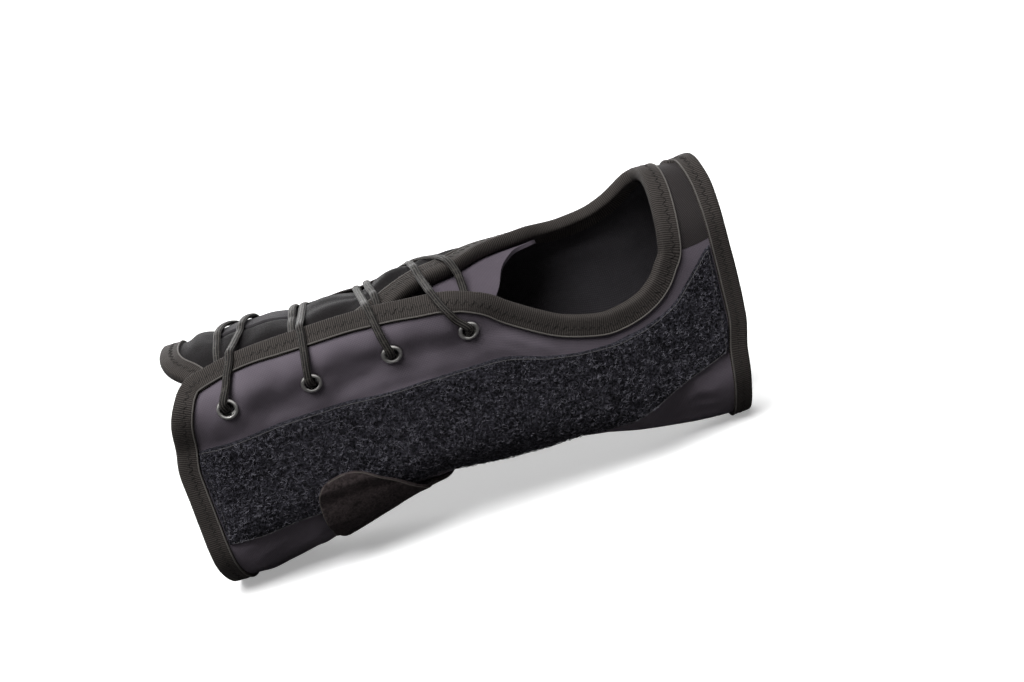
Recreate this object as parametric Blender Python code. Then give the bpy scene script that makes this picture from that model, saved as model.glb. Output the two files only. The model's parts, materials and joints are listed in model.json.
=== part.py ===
"""Wrist splint with laced forearm opening, left hand, about 200 mm long.

Lengths in this file are millimetres and angles are degrees.
+X runs from the forearm to the fingers, +Z is the thumb side,
-Y is the palm side.  The splint stands on its little-finger border.
A place on the shell is given by a station x along the forearm and an
angle t round it: 0 thumb side, 90 palm, 180 little finger, -90 back.
"""
import math

import bmesh
import bpy
from mathutils import Matrix, Vector

MM = 0.001

# ---- shell size, by station along the forearm -------------------------------
HALF_WIDTH = [(-6, 40.9), (12, 40.7), (40, 39.5), (90, 34.4), (130, 35.4), (165, 41.7), (206, 46.2)]
HALF_DEPTH = [(-6, 31.5), (12, 31.0), (40, 29.5), (90, 25.0), (130, 23.0), (165, 20.5), (206, 18.5)]
BOTTOM_Z = [(-6, 4.0), (12, 4.0), (40, 9.2), (90, 20.6), (130, 18.2), (165, 9.2), (195, 4.2), (206, 4.1)]
PALM_Y = [(-6, -29.6), (12, -29.6), (40, -29.6), (90, -29.6), (130, -26.6), (165, -19.6), (206, -9.6)]
ROUNDNESS = 2.2
FLAT_START = 0.74
FLAT_FULL = 0.93
LENGTH = 200.0
RIM_BLEND = 34.0
THUMB_RISE = 3.6
THUMB_RISE_X = 180.0
THUMB_RISE_REACH = 12.0
# Depth by which the laces press the flap down on the thumb side of the forearm.
PRESS = [
    (-6, 0.0), (20, 0.0), (28, 0.4), (38, 2.0), (50, 3.9), (62, 3.4), (72, 3.5), (80, 2.0), (88, 0.7),
    (98, 0.0), (206, 0.0),
]
PRESS_BACK_T = (-60.0, -25.0)
PRESS_PALM_T = (8.0, 36.0)

# ---- layers and gaps ---------------------------------------------------------
GAP = 0.3
TAPE_GAP = 0.55
PILE_GAP = 0.5
PANEL_IN = 0.3
PANEL_OUT = 3.3
TAPE = 0.7
TAPE_WIDTH = 6.4
LIFT = 5.7
LIFT_FROM_T = 49.5
LIFT_TO_T = 72.0
LIFT_FROM_X = 98.0
LIFT_TO_X = 130.0
ULNAR_SPLIT = 179.4
TAPE_SPLIT = 178.6
REST_Z = 0.0

# ---- edges of the panels -----------------------------------------------------
PALM_TOP_EDGE = [
    (0, 39.5), (12, 38), (28, 36.8), (43, 38.3), (57, 39.3), (68, 39.8), (78.5, 40.8), (88.5, 42.3),
    (98.5, 43.8), (108, 46.3), (117, 50.5), (122, 56.5), (132, 68), (138, 74), (146, 78.5), (154, 81),
    (161, 80), (168, 77), (174, 71), (179, 62), (200, 62),
]
PALM_REAR_RIM = [
    (38, 13), (40, 10.5), (43, 8.2), (46.5, 6.3), (50, 4.6), (57, 2), (69, 0), (83, -2),
    (109, -2), (136, -2), (158, -1.5), (180, -1),
]
FRONT_RIM = [
    (-180, 197), (-90, 197), (-30, 197.5), (-6, 199), (4, 202), (22, 203), (38, 203.5),
    (62, 203), (98, 202), (116, 199), (160, 197), (180, 197),
]
FLAP_EDGE = [(0, 48.5), (60, 48.5), (70, 46), (80, 39), (96, 22), (107.4, 17)]
FLAP_REAR_RIM = [
    (-180, -1), (-140, -1), (-90, -2), (-40, -1.5), (-10, -0.8), (8, -0.4), (16, 0.6), (22.5, 2.4),
    (27, 4.4), (31.5, 7.4), (38, 11), (48.5, 14),
]
FLAP_END_X = 107.4
HAND_START_X = 109.0
HAND_EDGE = [
    (109, 15), (119, 3), (134, -8), (142, -20), (150, -27), (160, -28.5), (168, -25.5),
    (175, -18), (179, -10), (181, -8), (200, -8),
]
STRAP_TOP_T = 61.4
STRAP_END_T = -7.4
STRAP_HOLE_EDGE = [(-8, 180), (4, 182), (22, 182.5), (38, 182), (50, 181), (62, 179.5)]
TONGUE_END = [(-26, 140), (-8, 138), (2, 131), (12, 128), (26, 124.5), (41, 122), (48, 120), (62, 117)]
TONGUE_START_X = 108.6
TONGUE_SPREAD_X = 126.0
TONGUE_UNDER_HAND = 12.0
TONGUE_UNDER_PALM = 8.0
TONGUE_IN = -2.8
TONGUE_OUT = -1.4
LOOP_TOP = [
    (6, 72), (26, 74), (50, 78), (78, 84), (108, 84.5), (126, 90), (138, 92.3), (148, 92.6),
    (156, 91.3), (162, 90.2), (168, 88.2), (174, 84.6), (180, 77.8), (186, 70.5), (190, 66), (196, 63),
]
LOOP_BOTTOM = [
    (6, 119), (24, 121), (38, 125), (60, 133), (80, 142), (95, 150), (109, 157), (120, 156),
    (132, 147), (150, 138), (162, 129), (179, 118), (192, 111),
]

# ---- lacing ------------------------------------------------------------------
EYELETS = [(21.5, 55.5), (51.0, 60.0), (80.0, 61.5), (106.5, 62.4)]
EYELET_FLANGE_R = 3.7
EYELET_BARREL_R = 2.8
EYELET_HOLE_R = 2.3
EYELET_FOOT = -3.7
EYELET_SEAT = 2.4
EYELET_FACE = 2.8
EYELET_CROWN = 3.05
EYELET_ROLL = 0.2
PANEL_HOLE_R = 3.1
WASHER_R = 3.6
WASHER_IN = -3.4
WASHER_OUT = -2.85
KNOT_HEIGHT = -5.5
KNOT_HALF_SIZE = (3.0, 2.4, 1.6)
CORD_R = 0.95
CORD_TOP = 11.4
CORD_TOP_DROP = 1.2
CORD_OVER_PANEL = 2.55
CORD_LOW = 6.4
CORD_ON_FLAP = 5.9
CORD_THROUGH = (-3.6, 0.5, 3.9)
CORD_LEAN = 0.7
CORD_LEAN_HEIGHT = 5.2
# Angle where the cords turn back, sewn under the cover, and how far the turn reaches.
BIGHT_T = -41.0
BIGHT_REACH = 5.0
# Angles where each taut cord comes down onto the flap.
CORD_TOUCH_T = [14.0, -6.0, -6.0, 24.0]
# Pairs of angle and station: each lace over the panel edge, then back toward it.
OVER_PATHS = [
    [(BIGHT_T, 35.5), (0, 30.5), (39, 28.0), (55.5, 21.5)],
    [(BIGHT_T, 53.0), (0, 52.5), (42, 53.5), (60.0, 51.0)],
    [(BIGHT_T, 71.0), (0, 73.0), (43, 77.3), (61.5, 80.0)],
    [(BIGHT_T, 89.5), (0, 94.5), (43, 98.5), (62.4, 106.5)],
]
UNDER_PATHS = [
    [(BIGHT_T, 31.0), (5, 21.5), (33, 21.0)],
    [(BIGHT_T, 48.4), (7, 48.5), (34, 49.0)],
    [(BIGHT_T, 76.0), (-10, 77.5), (36, 80.0)],
]
SLIT_FROM_X = 84.5

# ---- strap, lace cover, patch and back stay ----------------------------------
STRAP_FROM_T = -37.0
STRAP_NARROW_T = -150.0
STRAP_AT_TAB = (43.0, 86.0)
STRAP_AT_LACES = (29.0, 92.0)
STRAP_IN = 3.7
STRAP_OUT = 5.1
COVER_FROM_T = -61.0
COVER_TO_T = -38.0
COVER_IN = 7.8
COVER_OUT = 8.8
PATCH_X = (20.0, 50.0)
PATCH_T = (-17.0, 8.0)
PATCH_IN = 3.6
PATCH_OUT = 4.4
BACK_STAY_X = (14.0, 100.0)
BACK_STAY_T = (-92.0, -66.0)
BACK_STAY_IN = -1.6
BACK_STAY_OUT = -0.4
POCKET_X = (9.0, 104.0)
POCKET_T = (-97.0, -61.0)
POCKET_IN = -3.0
POCKET_OUT = -2.1


def smooth(pairs, at):
    """Value at `at` on a monotone cubic curve through the given pairs."""
    count = len(pairs)
    if at <= pairs[0][0]:
        return float(pairs[0][1])
    if at >= pairs[-1][0]:
        return float(pairs[-1][1])
    rise = []
    for (x0, y0), (x1, y1) in zip(pairs, pairs[1:]):
        rise.append((y1 - y0) / (x1 - x0))
    slope = [rise[0]]
    for i in range(1, count - 1):
        if rise[i - 1] * rise[i] > 0:
            before = pairs[i][0] - pairs[i - 1][0]
            after = pairs[i + 1][0] - pairs[i][0]
            w1 = 2 * after + before
            w2 = after + 2 * before
            slope.append((w1 + w2) / (w1 / rise[i - 1] + w2 / rise[i]))
        else:
            slope.append(0.0)
    slope.append(rise[-1])
    for i in range(count - 1):
        x0, y0 = pairs[i]
        x1, y1 = pairs[i + 1]
        if at <= x1:
            span = x1 - x0
            s = (at - x0) / span
            a = 2 * s ** 3 - 3 * s ** 2 + 1
            b = s ** 3 - 2 * s ** 2 + s
            c = -2 * s ** 3 + 3 * s ** 2
            d = s ** 3 - s ** 2
            return a * y0 + b * span * slope[i] + c * y1 + d * span * slope[i + 1]
    return float(pairs[-1][1])


def ease(low, high, at):
    """0 below low, 1 above high, smooth between them."""
    s = min(max((at - low) / (high - low), 0.0), 1.0)
    return s * s * (3 - 2 * s)


def mix(a, b, s):
    """Value a share s of the way from a to b."""
    return a + (b - a) * s


def steps(low, high, count):
    """count + 1 even values from low to high."""
    return [mix(low, high, i / count) for i in range(count + 1)]


def wrap_power(value, power):
    """Power of the size of a value, keeping its sign."""
    return math.copysign(abs(value) ** power, value)


def base_point(x, t):
    """Point of the innermost skin."""
    half_width = smooth(HALF_WIDTH, x)
    half_depth = smooth(HALF_DEPTH, x)
    centre_z = smooth(BOTTOM_Z, x) + half_width
    angle = math.radians(t)
    power = 2 / ROUNDNESS
    across = wrap_power(math.cos(angle), power)
    deep = wrap_power(math.sin(angle), power)
    if deep > 0:
        part = min(deep, FLAT_FULL)
        if part > FLAT_START:
            part -= (part - FLAT_START) ** 2 / (2 * (FLAT_FULL - FLAT_START))
        deep = part / (FLAT_FULL - (FLAT_FULL - FLAT_START) / 2)
    y = smooth(PALM_Y, x) + half_depth * (1 - deep)
    rise = THUMB_RISE * math.exp(-((x - THUMB_RISE_X) / THUMB_RISE_REACH) ** 2) * max(across, 0.0) ** 3
    pressed = smooth(PRESS, x) * ease(*PRESS_BACK_T, t) * (1 - ease(*PRESS_PALM_T, t))
    return Vector((x, y, centre_z + half_width * across + rise - pressed))


def base_normal(x, t):
    """Outward direction of the innermost skin."""
    along = base_point(x + 0.5, t) - base_point(x - 0.5, t)
    around = base_point(x, t + 0.4) - base_point(x, t - 0.4)
    return around.cross(along).normalized()


def skin(x, t, n):
    """Point lying n outside the innermost skin; nothing goes below the rest plane."""
    point = base_point(x, t) + base_normal(x, t) * n
    point.z = max(point.z, REST_Z)
    return point


def lift(x, t):
    """How far the palm panel rides up over the flap beside the lacing."""
    return LIFT * (1 - ease(LIFT_FROM_T, LIFT_TO_T, t)) * (1 - ease(LIFT_FROM_X, LIFT_TO_X, x))


def palm_skin(x, t, n):
    """The same as skin, for the palm panel that rides up beside the lacing."""
    return skin(x, t, n + lift(x, t))


def surface_frame(surface, x, t, n):
    """Origin, forearm direction and outward normal on a surface."""
    along = surface(x + 0.5, t, n) - surface(x - 0.5, t, n)
    around = surface(x, t + 0.8, n) - surface(x, t - 0.8, n)
    normal = around.cross(along).normalized()
    return surface(x, t, n), along.normalized(), normal


def walk(surface, x, t, direction, distance, n):
    """Station and angle reached by going a distance over the surface."""
    pieces = 3
    heading = direction.copy()
    for _ in range(pieces):
        along = (surface(x + 0.5, t, n) - surface(x - 0.5, t, n))
        around = (surface(x, t + 0.5, n) - surface(x, t - 0.5, n))
        normal = around.cross(along).normalized()
        heading = (heading - normal * heading.dot(normal)).normalized()
        step = heading * (distance / pieces)
        aa = along.dot(along)
        bb = around.dot(around)
        ab = along.dot(around)
        sa = step.dot(along)
        sb = step.dot(around)
        det = aa * bb - ab * ab
        x += (sa * bb - sb * ab) / det
        t += (sb * aa - sa * ab) / det
    return x, t


# ---- building helpers --------------------------------------------------------
for old in list(bpy.data.objects):
    bpy.data.objects.remove(old, do_unlink=True)

part = bpy.data.collections.new("wrist_splint")
bpy.context.scene.collection.children.link(part)
helpers = bpy.data.collections.new("helpers")
bpy.context.scene.collection.children.link(helpers)


def material(name, colour, roughness, metallic=0.0):
    """Plain material of one colour."""
    made = bpy.data.materials.new(name)
    made.use_nodes = True
    shader = made.node_tree.nodes["Principled BSDF"]
    shader.inputs["Base Color"].default_value = (*colour, 1.0)
    shader.inputs["Roughness"].default_value = roughness
    shader.inputs["Metallic"].default_value = metallic
    made.diffuse_color = (*colour, 1.0)
    return made


def add_object(name, bm, colour, roughness, metallic=0.0, origin=None):
    """Turn a bmesh in millimetres into an object in metres."""
    bm.normal_update()
    bmesh.ops.recalc_face_normals(bm, faces=bm.faces)
    pivot = origin or Vector((0, 0, 0))
    for vert in bm.verts:
        vert.co = (vert.co - pivot) * MM
    mesh = bpy.data.meshes.new(name)
    bm.to_mesh(mesh)
    bm.free()
    mesh.materials.append(material(name, colour, roughness, metallic))
    made = bpy.data.objects.new(name, mesh)
    made.location = pivot * MM
    part.objects.link(made)
    return made


def slab(name, grid, inner, outer, look, origin=None):
    """Closed sheet over a grid of (x, t); inner and outer give its two faces."""
    bm = bmesh.new()
    rows = len(grid)
    cols = len(grid[0])
    low = [[bm.verts.new(inner(x, t)) for x, t in row] for row in grid]
    high = [[bm.verts.new(outer(x, t)) for x, t in row] for row in grid]
    for i in range(rows - 1):
        for j in range(cols - 1):
            bm.faces.new((high[i][j], high[i + 1][j], high[i + 1][j + 1], high[i][j + 1]))
            bm.faces.new((low[i][j], low[i][j + 1], low[i + 1][j + 1], low[i + 1][j]))
    border = [(i, 0) for i in range(rows)]
    border += [(rows - 1, j) for j in range(1, cols)]
    border += [(i, cols - 1) for i in range(rows - 2, -1, -1)]
    border += [(0, j) for j in range(cols - 2, 0, -1)]
    for a, b in zip(border, border[1:] + border[:1]):
        bm.faces.new((low[a[0]][a[1]], low[b[0]][b[1]], high[b[0]][b[1]], high[a[0]][a[1]]))
    return add_object(name, bm, *look, origin=origin)


def binding(name, surface, path, inward, look, curved=True, origin=None):
    """Folded tape: a U section carried along the edge path of a panel.

    path holds (x, t) places on the edge; inward tells on which side of the
    travelling direction the panel lies (+1 or -1).
    """
    bm = bmesh.new()
    middle = (PANEL_IN + PANEL_OUT) / 2
    low = PANEL_IN - TAPE_GAP
    high = PANEL_OUT + TAPE_GAP
    half = [TAPE_WIDTH / 2] if curved else []
    section = [(TAPE_WIDTH, high)] + [(d, high) for d in half] + [(-GAP, high), (-GAP, low)]
    section += [(d, low) for d in half] + [(TAPE_WIDTH, low), (TAPE_WIDTH, low - TAPE)]
    section += [(d, low - TAPE) for d in half]
    section += [(0.0, low - TAPE), (-GAP - TAPE, middle - 1.2)]
    section += [(-GAP - TAPE, middle + 1.2), (0.0, high + TAPE)]
    section += [(d, high + TAPE) for d in half] + [(TAPE_WIDTH, high + TAPE)]
    rings = []
    for i, (x, t) in enumerate(path):
        before = surface(*path[max(i - 1, 0)], middle)
        after = surface(*path[min(i + 1, len(path) - 1)], middle)
        _, _, normal = surface_frame(surface, x, t, middle)
        side = normal.cross(after - before).normalized() * inward
        reach = {d: walk(surface, x, t, side, d, middle) for d in {d for d, _ in section}}
        rings.append([bm.verts.new(surface(*reach[d], n)) for d, n in section])
    count = len(section)
    for a, b in zip(rings, rings[1:]):
        for j in range(count):
            k = (j + 1) % count
            bm.faces.new((a[j], a[k], b[k], b[j]))
    fold = 1 + len(half)
    caps = [(fold, 3 * fold + 4, 3 * fold + 5), (fold, fold + 1, 3 * fold + 3, 3 * fold + 4)]
    caps.append((fold + 1, 3 * fold + 2, 3 * fold + 3))
    for k in range(fold):
        caps.append((k, k + 1, 4 * fold + 4 - k, 4 * fold + 5 - k))
        caps.append((fold + 1 + k, fold + 2 + k, 3 * fold + 1 - k, 3 * fold + 2 - k))
    for ring in (rings[0], rings[-1]):
        for cap in caps:
            bm.faces.new([ring[k] for k in cap])
    return add_object(name, bm, *look, origin=origin)


def lathe(name, profile, frame, look, segments=16, shift=0.0, origin=None):
    """Closed ring turned from a (radius, height) profile about a normal."""
    centre, along, normal = frame
    other = normal.cross(along)
    centre = centre + normal * shift
    bm = bmesh.new()
    rings = []
    for s in range(segments):
        angle = math.tau * s / segments
        spoke = along * math.cos(angle) + other * math.sin(angle)
        rings.append([bm.verts.new(centre + spoke * r + normal * h) for r, h in profile])
    count = len(profile)
    for a, b in zip(rings, rings[1:] + rings[:1]):
        for j in range(count):
            k = (j + 1) % count
            bm.faces.new((a[j], a[k], b[k], b[j]))
    return add_object(name, bm, *look, origin=origin)


def tube(name, points, radius, look, origin=None):
    """Round cord along a list of points."""
    pivot = origin or Vector((0, 0, 0))
    curve = bpy.data.curves.new(name, "CURVE")
    curve.dimensions = "3D"
    curve.bevel_depth = radius * MM
    curve.bevel_resolution = 2
    curve.use_fill_caps = True
    spline = curve.splines.new("POLY")
    spline.points.add(len(points) - 1)
    for target, point in zip(spline.points, points):
        target.co = (*((point - pivot) * MM), 1.0)
    curve.materials.append(material(name, *look))
    made = bpy.data.objects.new(name, curve)
    made.location = pivot * MM
    part.objects.link(made)
    return made


# ---- looks -------------------------------------------------------------------
FABRIC = ((0.030, 0.028, 0.032), 0.85)
PILE = ((0.014, 0.014, 0.018), 0.95)
TAPE_LOOK = ((0.022, 0.022, 0.018), 0.8)
HOOK = ((0.020, 0.015, 0.014), 0.7)
CORD = ((0.018, 0.018, 0.017), 0.6)
NICKEL = ((0.55, 0.53, 0.50), 0.3, 1.0)
ALUMINIUM = ((0.70, 0.70, 0.71), 0.4, 1.0)
PLASTIC = ((0.10, 0.10, 0.11), 0.5)
LINING = ((0.045, 0.043, 0.048), 0.9)


# ---- palm side panel ---------------------------------------------------------
def palm_place(s, t):
    """Station after the shaped ends have been allowed for."""
    rear = max(1 - s / RIM_BLEND, 0.0) ** 2
    front = max(1 - (LENGTH - s) / RIM_BLEND, 0.0) ** 2
    return s + rear * smooth(PALM_REAR_RIM, t) + front * (smooth(FRONT_RIM, t) - LENGTH)


palm_rows = [0, 4, 10, 18, 28, 40, 52, 64, 76, 85, 91, 97, 103, 109, 115, 122, 129, 136, 144, 152, 160,
             168, 174, 179, 186, 193, 200]
palm_cols = steps(0, 0.4, 12) + steps(0.4, 0.94, 8)[1:] + [0.97, 1.0]
palm_grid = []
for s in palm_rows:
    top = smooth(PALM_TOP_EDGE, s)
    row = [mix(top, ULNAR_SPLIT, v) for v in palm_cols]
    palm_grid.append([(palm_place(s, t), t) for t in row])
palm_panel = slab(
    "palm_panel", palm_grid,
    lambda x, t: palm_skin(x, t, PANEL_IN),
    lambda x, t: palm_skin(x, t, PANEL_OUT),
    FABRIC,
)

# ---- eyelet holes through the palm panel ------------------------------------
eyelet_frames = []
for number, (x, t) in enumerate(EYELETS, 1):
    frame = surface_frame(palm_skin, x, t, (PANEL_IN + PANEL_OUT) / 2)
    eyelet_frames.append(frame)
    centre, along, normal = frame
    bm = bmesh.new()
    bmesh.ops.create_cone(
        bm, cap_ends=True, segments=16, radius1=PANEL_HOLE_R * MM,
        radius2=PANEL_HOLE_R * MM, depth=8 * MM,
    )
    mesh = bpy.data.meshes.new("hole_cutter_%d" % number)
    bm.to_mesh(mesh)
    bm.free()
    cutter = bpy.data.objects.new(mesh.name, mesh)
    turn = Matrix((along, normal.cross(along), normal)).transposed().to_4x4()
    cutter.matrix_world = Matrix.Translation(centre * MM) @ turn
    cutter.display_type = "WIRE"
    cutter.hide_render = True
    cutter.hide_viewport = True
    helpers.objects.link(cutter)
    cut = palm_panel.modifiers.new("eyelet_hole_%d" % number, "BOOLEAN")
    cut.operation = "DIFFERENCE"
    cut.solver = "EXACT"
    cut.object = cutter

# ---- eyelets, washers, knots -------------------------------------------------
for number, frame in enumerate(eyelet_frames, 1):
    lathe(
        "eyelet_%d" % number,
        [(EYELET_HOLE_R, EYELET_FOOT), (EYELET_BARREL_R, EYELET_FOOT), (EYELET_BARREL_R, EYELET_SEAT),
         (EYELET_FLANGE_R, EYELET_SEAT), (EYELET_BARREL_R + EYELET_ROLL, EYELET_CROWN),
         (EYELET_HOLE_R, EYELET_FACE)],
        frame, NICKEL,
    )
    lathe(
        "washer_%d" % number,
        [(EYELET_BARREL_R + GAP, WASHER_IN), (WASHER_R, WASHER_IN),
         (WASHER_R, WASHER_OUT), (EYELET_BARREL_R + GAP, WASHER_OUT)],
        frame, NICKEL,
    )

# ---- hinge lines -------------------------------------------------------------
# The flap turns about a line from FLAP_AXIS that climbs ten degrees toward the
# wrist, as the little-finger border does; the tab turns about a line along X.
FLAP_AXIS = Vector((0.0, 1.9, -1.0))
TAB_AXIS = Vector((62.0, 1.9, 3.0))


# ---- flap: back of the forearm -----------------------------------------------
def flap_place(s, t):
    """Station after the shaped rear rim has been allowed for."""
    rear = max(1 - s / RIM_BLEND, 0.0) ** 2
    return s + rear * smooth(FLAP_REAR_RIM, t)


flap_rows = [0, 5, 12, 22, 34, 48, 62, 76, 90, 100, FLAP_END_X]
flap_cols = [0.0, 0.03] + steps(0.07, 1, 18)
flap_grid = []
for s in flap_rows:
    top = smooth(FLAP_EDGE, s)
    row = [mix(-ULNAR_SPLIT, top, v) for v in flap_cols]
    flap_grid.append([(flap_place(s, t), t) for t in row])
slab(
    "dorsal_flap", flap_grid,
    lambda x, t: skin(x, t, PANEL_IN),
    lambda x, t: skin(x, t, PANEL_OUT),
    FABRIC, origin=FLAP_AXIS,
)


# ---- back of the hand --------------------------------------------------------
def hand_place(s, t):
    """Station after the shaped front rim has been allowed for."""
    front = max(1 - (LENGTH - s) / RIM_BLEND, 0.0) ** 2
    return s + front * (smooth(FRONT_RIM, t) - LENGTH)


hand_rows = [HAND_START_X, 115, 121, 127, 134, 141, 148, 155, 162, 169, 175, 179, 183, 191, 200]
hand_cols = [0.0, 0.03] + steps(0.08, 1, 14)
hand_grid = []
for s in hand_rows:
    top = smooth(HAND_EDGE, s)
    row = [mix(-ULNAR_SPLIT, top, v) for v in hand_cols]
    hand_grid.append([(hand_place(s, t), t) for t in row])
slab(
    "dorsal_hand_panel", hand_grid,
    lambda x, t: skin(x, t, PANEL_IN),
    lambda x, t: skin(x, t, PANEL_OUT),
    FABRIC,
)

# ---- strap over the thumb web ------------------------------------------------
web_ts = steps(STRAP_END_T, STRAP_TOP_T, 10)
web_grid = []
for t in web_ts:
    start = smooth(STRAP_HOLE_EDGE, t)
    end = smooth(FRONT_RIM, t)
    web_grid.append([(mix(start, end, u), t) for u in steps(0, 1, 2)])
slab(
    "thumb_web_strap", web_grid,
    lambda x, t: skin(x, t, PANEL_IN),
    lambda x, t: skin(x, t, PANEL_OUT),
    FABRIC,
)

# ---- tongue under the end of the slit ----------------------------------------
tongue_grid = []
for u in steps(0, 1, 4):
    station = mix(TONGUE_START_X, TONGUE_SPREAD_X, u)
    low = smooth(HAND_EDGE, station) - TONGUE_UNDER_HAND
    high = smooth(PALM_TOP_EDGE, station) + TONGUE_UNDER_PALM
    row = []
    for v in steps(0, 1, 10):
        t = mix(low, high, v)
        row.append((mix(TONGUE_START_X, smooth(TONGUE_END, t), u), t))
    tongue_grid.append(row)
slab(
    "tongue", tongue_grid,
    lambda x, t: skin(x, t, TONGUE_IN),
    lambda x, t: skin(x, t, TONGUE_OUT),
    LINING,
)


# ---- edge tapes --------------------------------------------------------------
STATION = 0
ANGLE = 1


def between(grid_line, low, high, kind):
    """Places of a grid line whose station (0) or angle (1) lies in a range."""
    return [place for place in grid_line if low <= place[kind] <= high]


def rim_path(line, rim, low, high):
    """Rim places cut at two exact angles."""
    inner = between(line, low + 1, high - 1, ANGLE)
    ends = [(smooth(rim, low), low), (smooth(rim, high), high)]
    return [ends[0]] + inner + [ends[1]]


rest_ts = [174.8, TAPE_SPLIT]
rear_line = between(palm_grid[0], 41.0, 172, ANGLE) + [(smooth(PALM_REAR_RIM, t), t) for t in rest_ts]
binding("tape_palm_rear", palm_skin, rear_line[::-1], -1, TAPE_LOOK)

top_edge = [row[0] for row in palm_grid]
lace_path = between(top_edge, 21, 114, STATION)
binding("tape_lacing_edge", palm_skin, lace_path, -1, TAPE_LOOK)
hole_path = between(top_edge, 114.5, 177, STATION)
hole_path[0] = (hole_path[0][0] + 0.9, smooth(PALM_TOP_EDGE, hole_path[0][0] + 0.9))
binding("tape_thumb_hole", palm_skin, hole_path, -1, TAPE_LOOK)

web_hole_line = between([row[0] for row in web_grid], -5, 56, ANGLE)
binding("tape_web_hole_edge", skin, web_hole_line, 1, TAPE_LOOK, curved=False)
web_front_line = [row[-1] for row in web_grid]
binding("tape_web_front", skin, web_front_line, -1, TAPE_LOOK, curved=False)

palm_front_line = rim_path(palm_grid[-1], FRONT_RIM, 62.4, TAPE_SPLIT)
binding("tape_palm_front", palm_skin, palm_front_line, -1, TAPE_LOOK, curved=False)
hand_front_line = rim_path(hand_grid[-1], FRONT_RIM, -TAPE_SPLIT, -8.4)
binding("tape_hand_front", skin, hand_front_line, -1, TAPE_LOOK, curved=False)
hand_edge_line = between([row[-1] for row in hand_grid], 114, 177, STATION)
binding("tape_hand_edge", skin, hand_edge_line, 1, TAPE_LOOK)

flap_rear_line = rim_path(flap_grid[0], FLAP_REAR_RIM, -TAPE_SPLIT, 37)
binding("tape_flap_rear", skin, flap_rear_line, 1, TAPE_LOOK, curved=False, origin=FLAP_AXIS)
flap_edge_line = between([row[-1] for row in flap_grid], 19, 105, STATION)
binding("tape_flap_edge", skin, flap_edge_line, 1, TAPE_LOOK, origin=FLAP_AXIS)

# ---- palm stay and the pile panel that covers it -----------------------------
STAY_CENTRE = [(0, 91), (50, 94.5), (80, 101), (108, 105), (126, 109), (150, 112), (170, 113)]
STAY_HALF_WIDTH = [(0, 10.5), (110, 10.5), (150, 10.0), (157, 9.5)]
STAY_END_ROUND = 4.0
STAY_FROM_X = 13.0
STAY_TO_X = 157.0
STAY_IN = 3.75
STAY_OUT = 5.25
PILE_THICK = 1.4
STAY_MARGIN = 1.2
STAY_FOOT = 5.0
STAY_INNER = -6.0
STAY_RISE = STAY_OUT - PANEL_OUT + 0.35


def arc_angle(x, t, distance):
    """Degrees that span a distance round the shell near an angle."""
    per_degree = (base_point(x, t + 1) - base_point(x, t - 1)).length / 2
    return distance / per_degree


def stay_side(x, extra, side):
    """Angle of the stay's long edge, moved outward by `extra`."""
    centre = smooth(STAY_CENTRE, x)
    half = smooth(STAY_HALF_WIDTH, x)
    return centre + side * arc_angle(x, centre + side * 6, half + extra)


stay_grid = []
for x in [STAY_FROM_X, 15, 19, 27, 39, 51, 63, 75, 87, 96, 105, 114, 122, 130, 138, 146, 152, STAY_TO_X]:
    near_end = min(x - STAY_FROM_X, STAY_TO_X - x)
    tuck = STAY_END_ROUND * (1 - ease(0, 5, near_end))
    low = stay_side(x, -tuck, -1)
    high = stay_side(x, -tuck, 1)
    stay_grid.append([(x, t) for t in steps(low, high, 4)])
slab(
    "palm_stay", stay_grid,
    lambda x, t: skin(x, t, STAY_IN),
    lambda x, t: skin(x, t, STAY_OUT),
    ALUMINIUM,
)


def over_stay(x, t):
    """1 above the stay, easing to 0 beside and beyond it."""
    side = 1 if t > smooth(STAY_CENTRE, x) else -1
    flat = stay_side(x, STAY_MARGIN, side) - 90
    foot = stay_side(x, STAY_FOOT, side) - 90
    beside = 1 - ease(flat * side, foot * side, (t - 90) * side)
    ends = ease(STAY_FROM_X - 4, STAY_FROM_X - 1, x) * (1 - ease(STAY_TO_X + 1, STAY_TO_X + 7, x))
    return beside * ends


def pile_floor(x, t):
    """Underside of the pile panel: raised over the stay."""
    return PANEL_OUT + PILE_GAP + STAY_RISE * over_stay(x, t)


PILE_LENGTH = 191.5
PILE_END_GAP = 0.8
pile_rows = [0, 4, 7, 15, 27, 39, 51, 63, 75, 87, 96, 105, 114, 122, 130, 138, 146, 152, 158, 164,
             170, 176, 182, 188, PILE_LENGTH]
pile_grid = []
for s in pile_rows:
    x = max(s, 5.6)
    top = smooth(LOOP_TOP, x)
    bottom = smooth(LOOP_BOTTOM, x)
    marks = [
        stay_side(x, STAY_FOOT, -1), stay_side(x, STAY_MARGIN, -1), stay_side(x, STAY_INNER, -1),
        smooth(STAY_CENTRE, x), stay_side(x, STAY_INNER, 1), stay_side(x, STAY_MARGIN, 1),
        stay_side(x, STAY_FOOT, 1),
    ]
    angles = [top]
    for k, mark in enumerate(marks, 1):
        ceiling = bottom - 1.2 * (len(marks) + 4 - k)
        angles.append(min(max(mark, top + 1.2 * k), ceiling))
    angles += [mix(angles[-1], bottom, v) for v in steps(0, 1, 4)[1:]]
    row = []
    for t in angles:
        start = smooth(PALM_REAR_RIM, t) + TAPE_WIDTH + PILE_END_GAP
        end = smooth(FRONT_RIM, t) - TAPE_WIDTH - PILE_END_GAP
        row.append((mix(start, end, s / PILE_LENGTH), t))
    pile_grid.append(row)
slab(
    "pile_panel", pile_grid,
    lambda x, t: skin(x, t, pile_floor(x, t)),
    lambda x, t: skin(x, t, pile_floor(x, t) + PILE_THICK),
    PILE,
)

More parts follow.
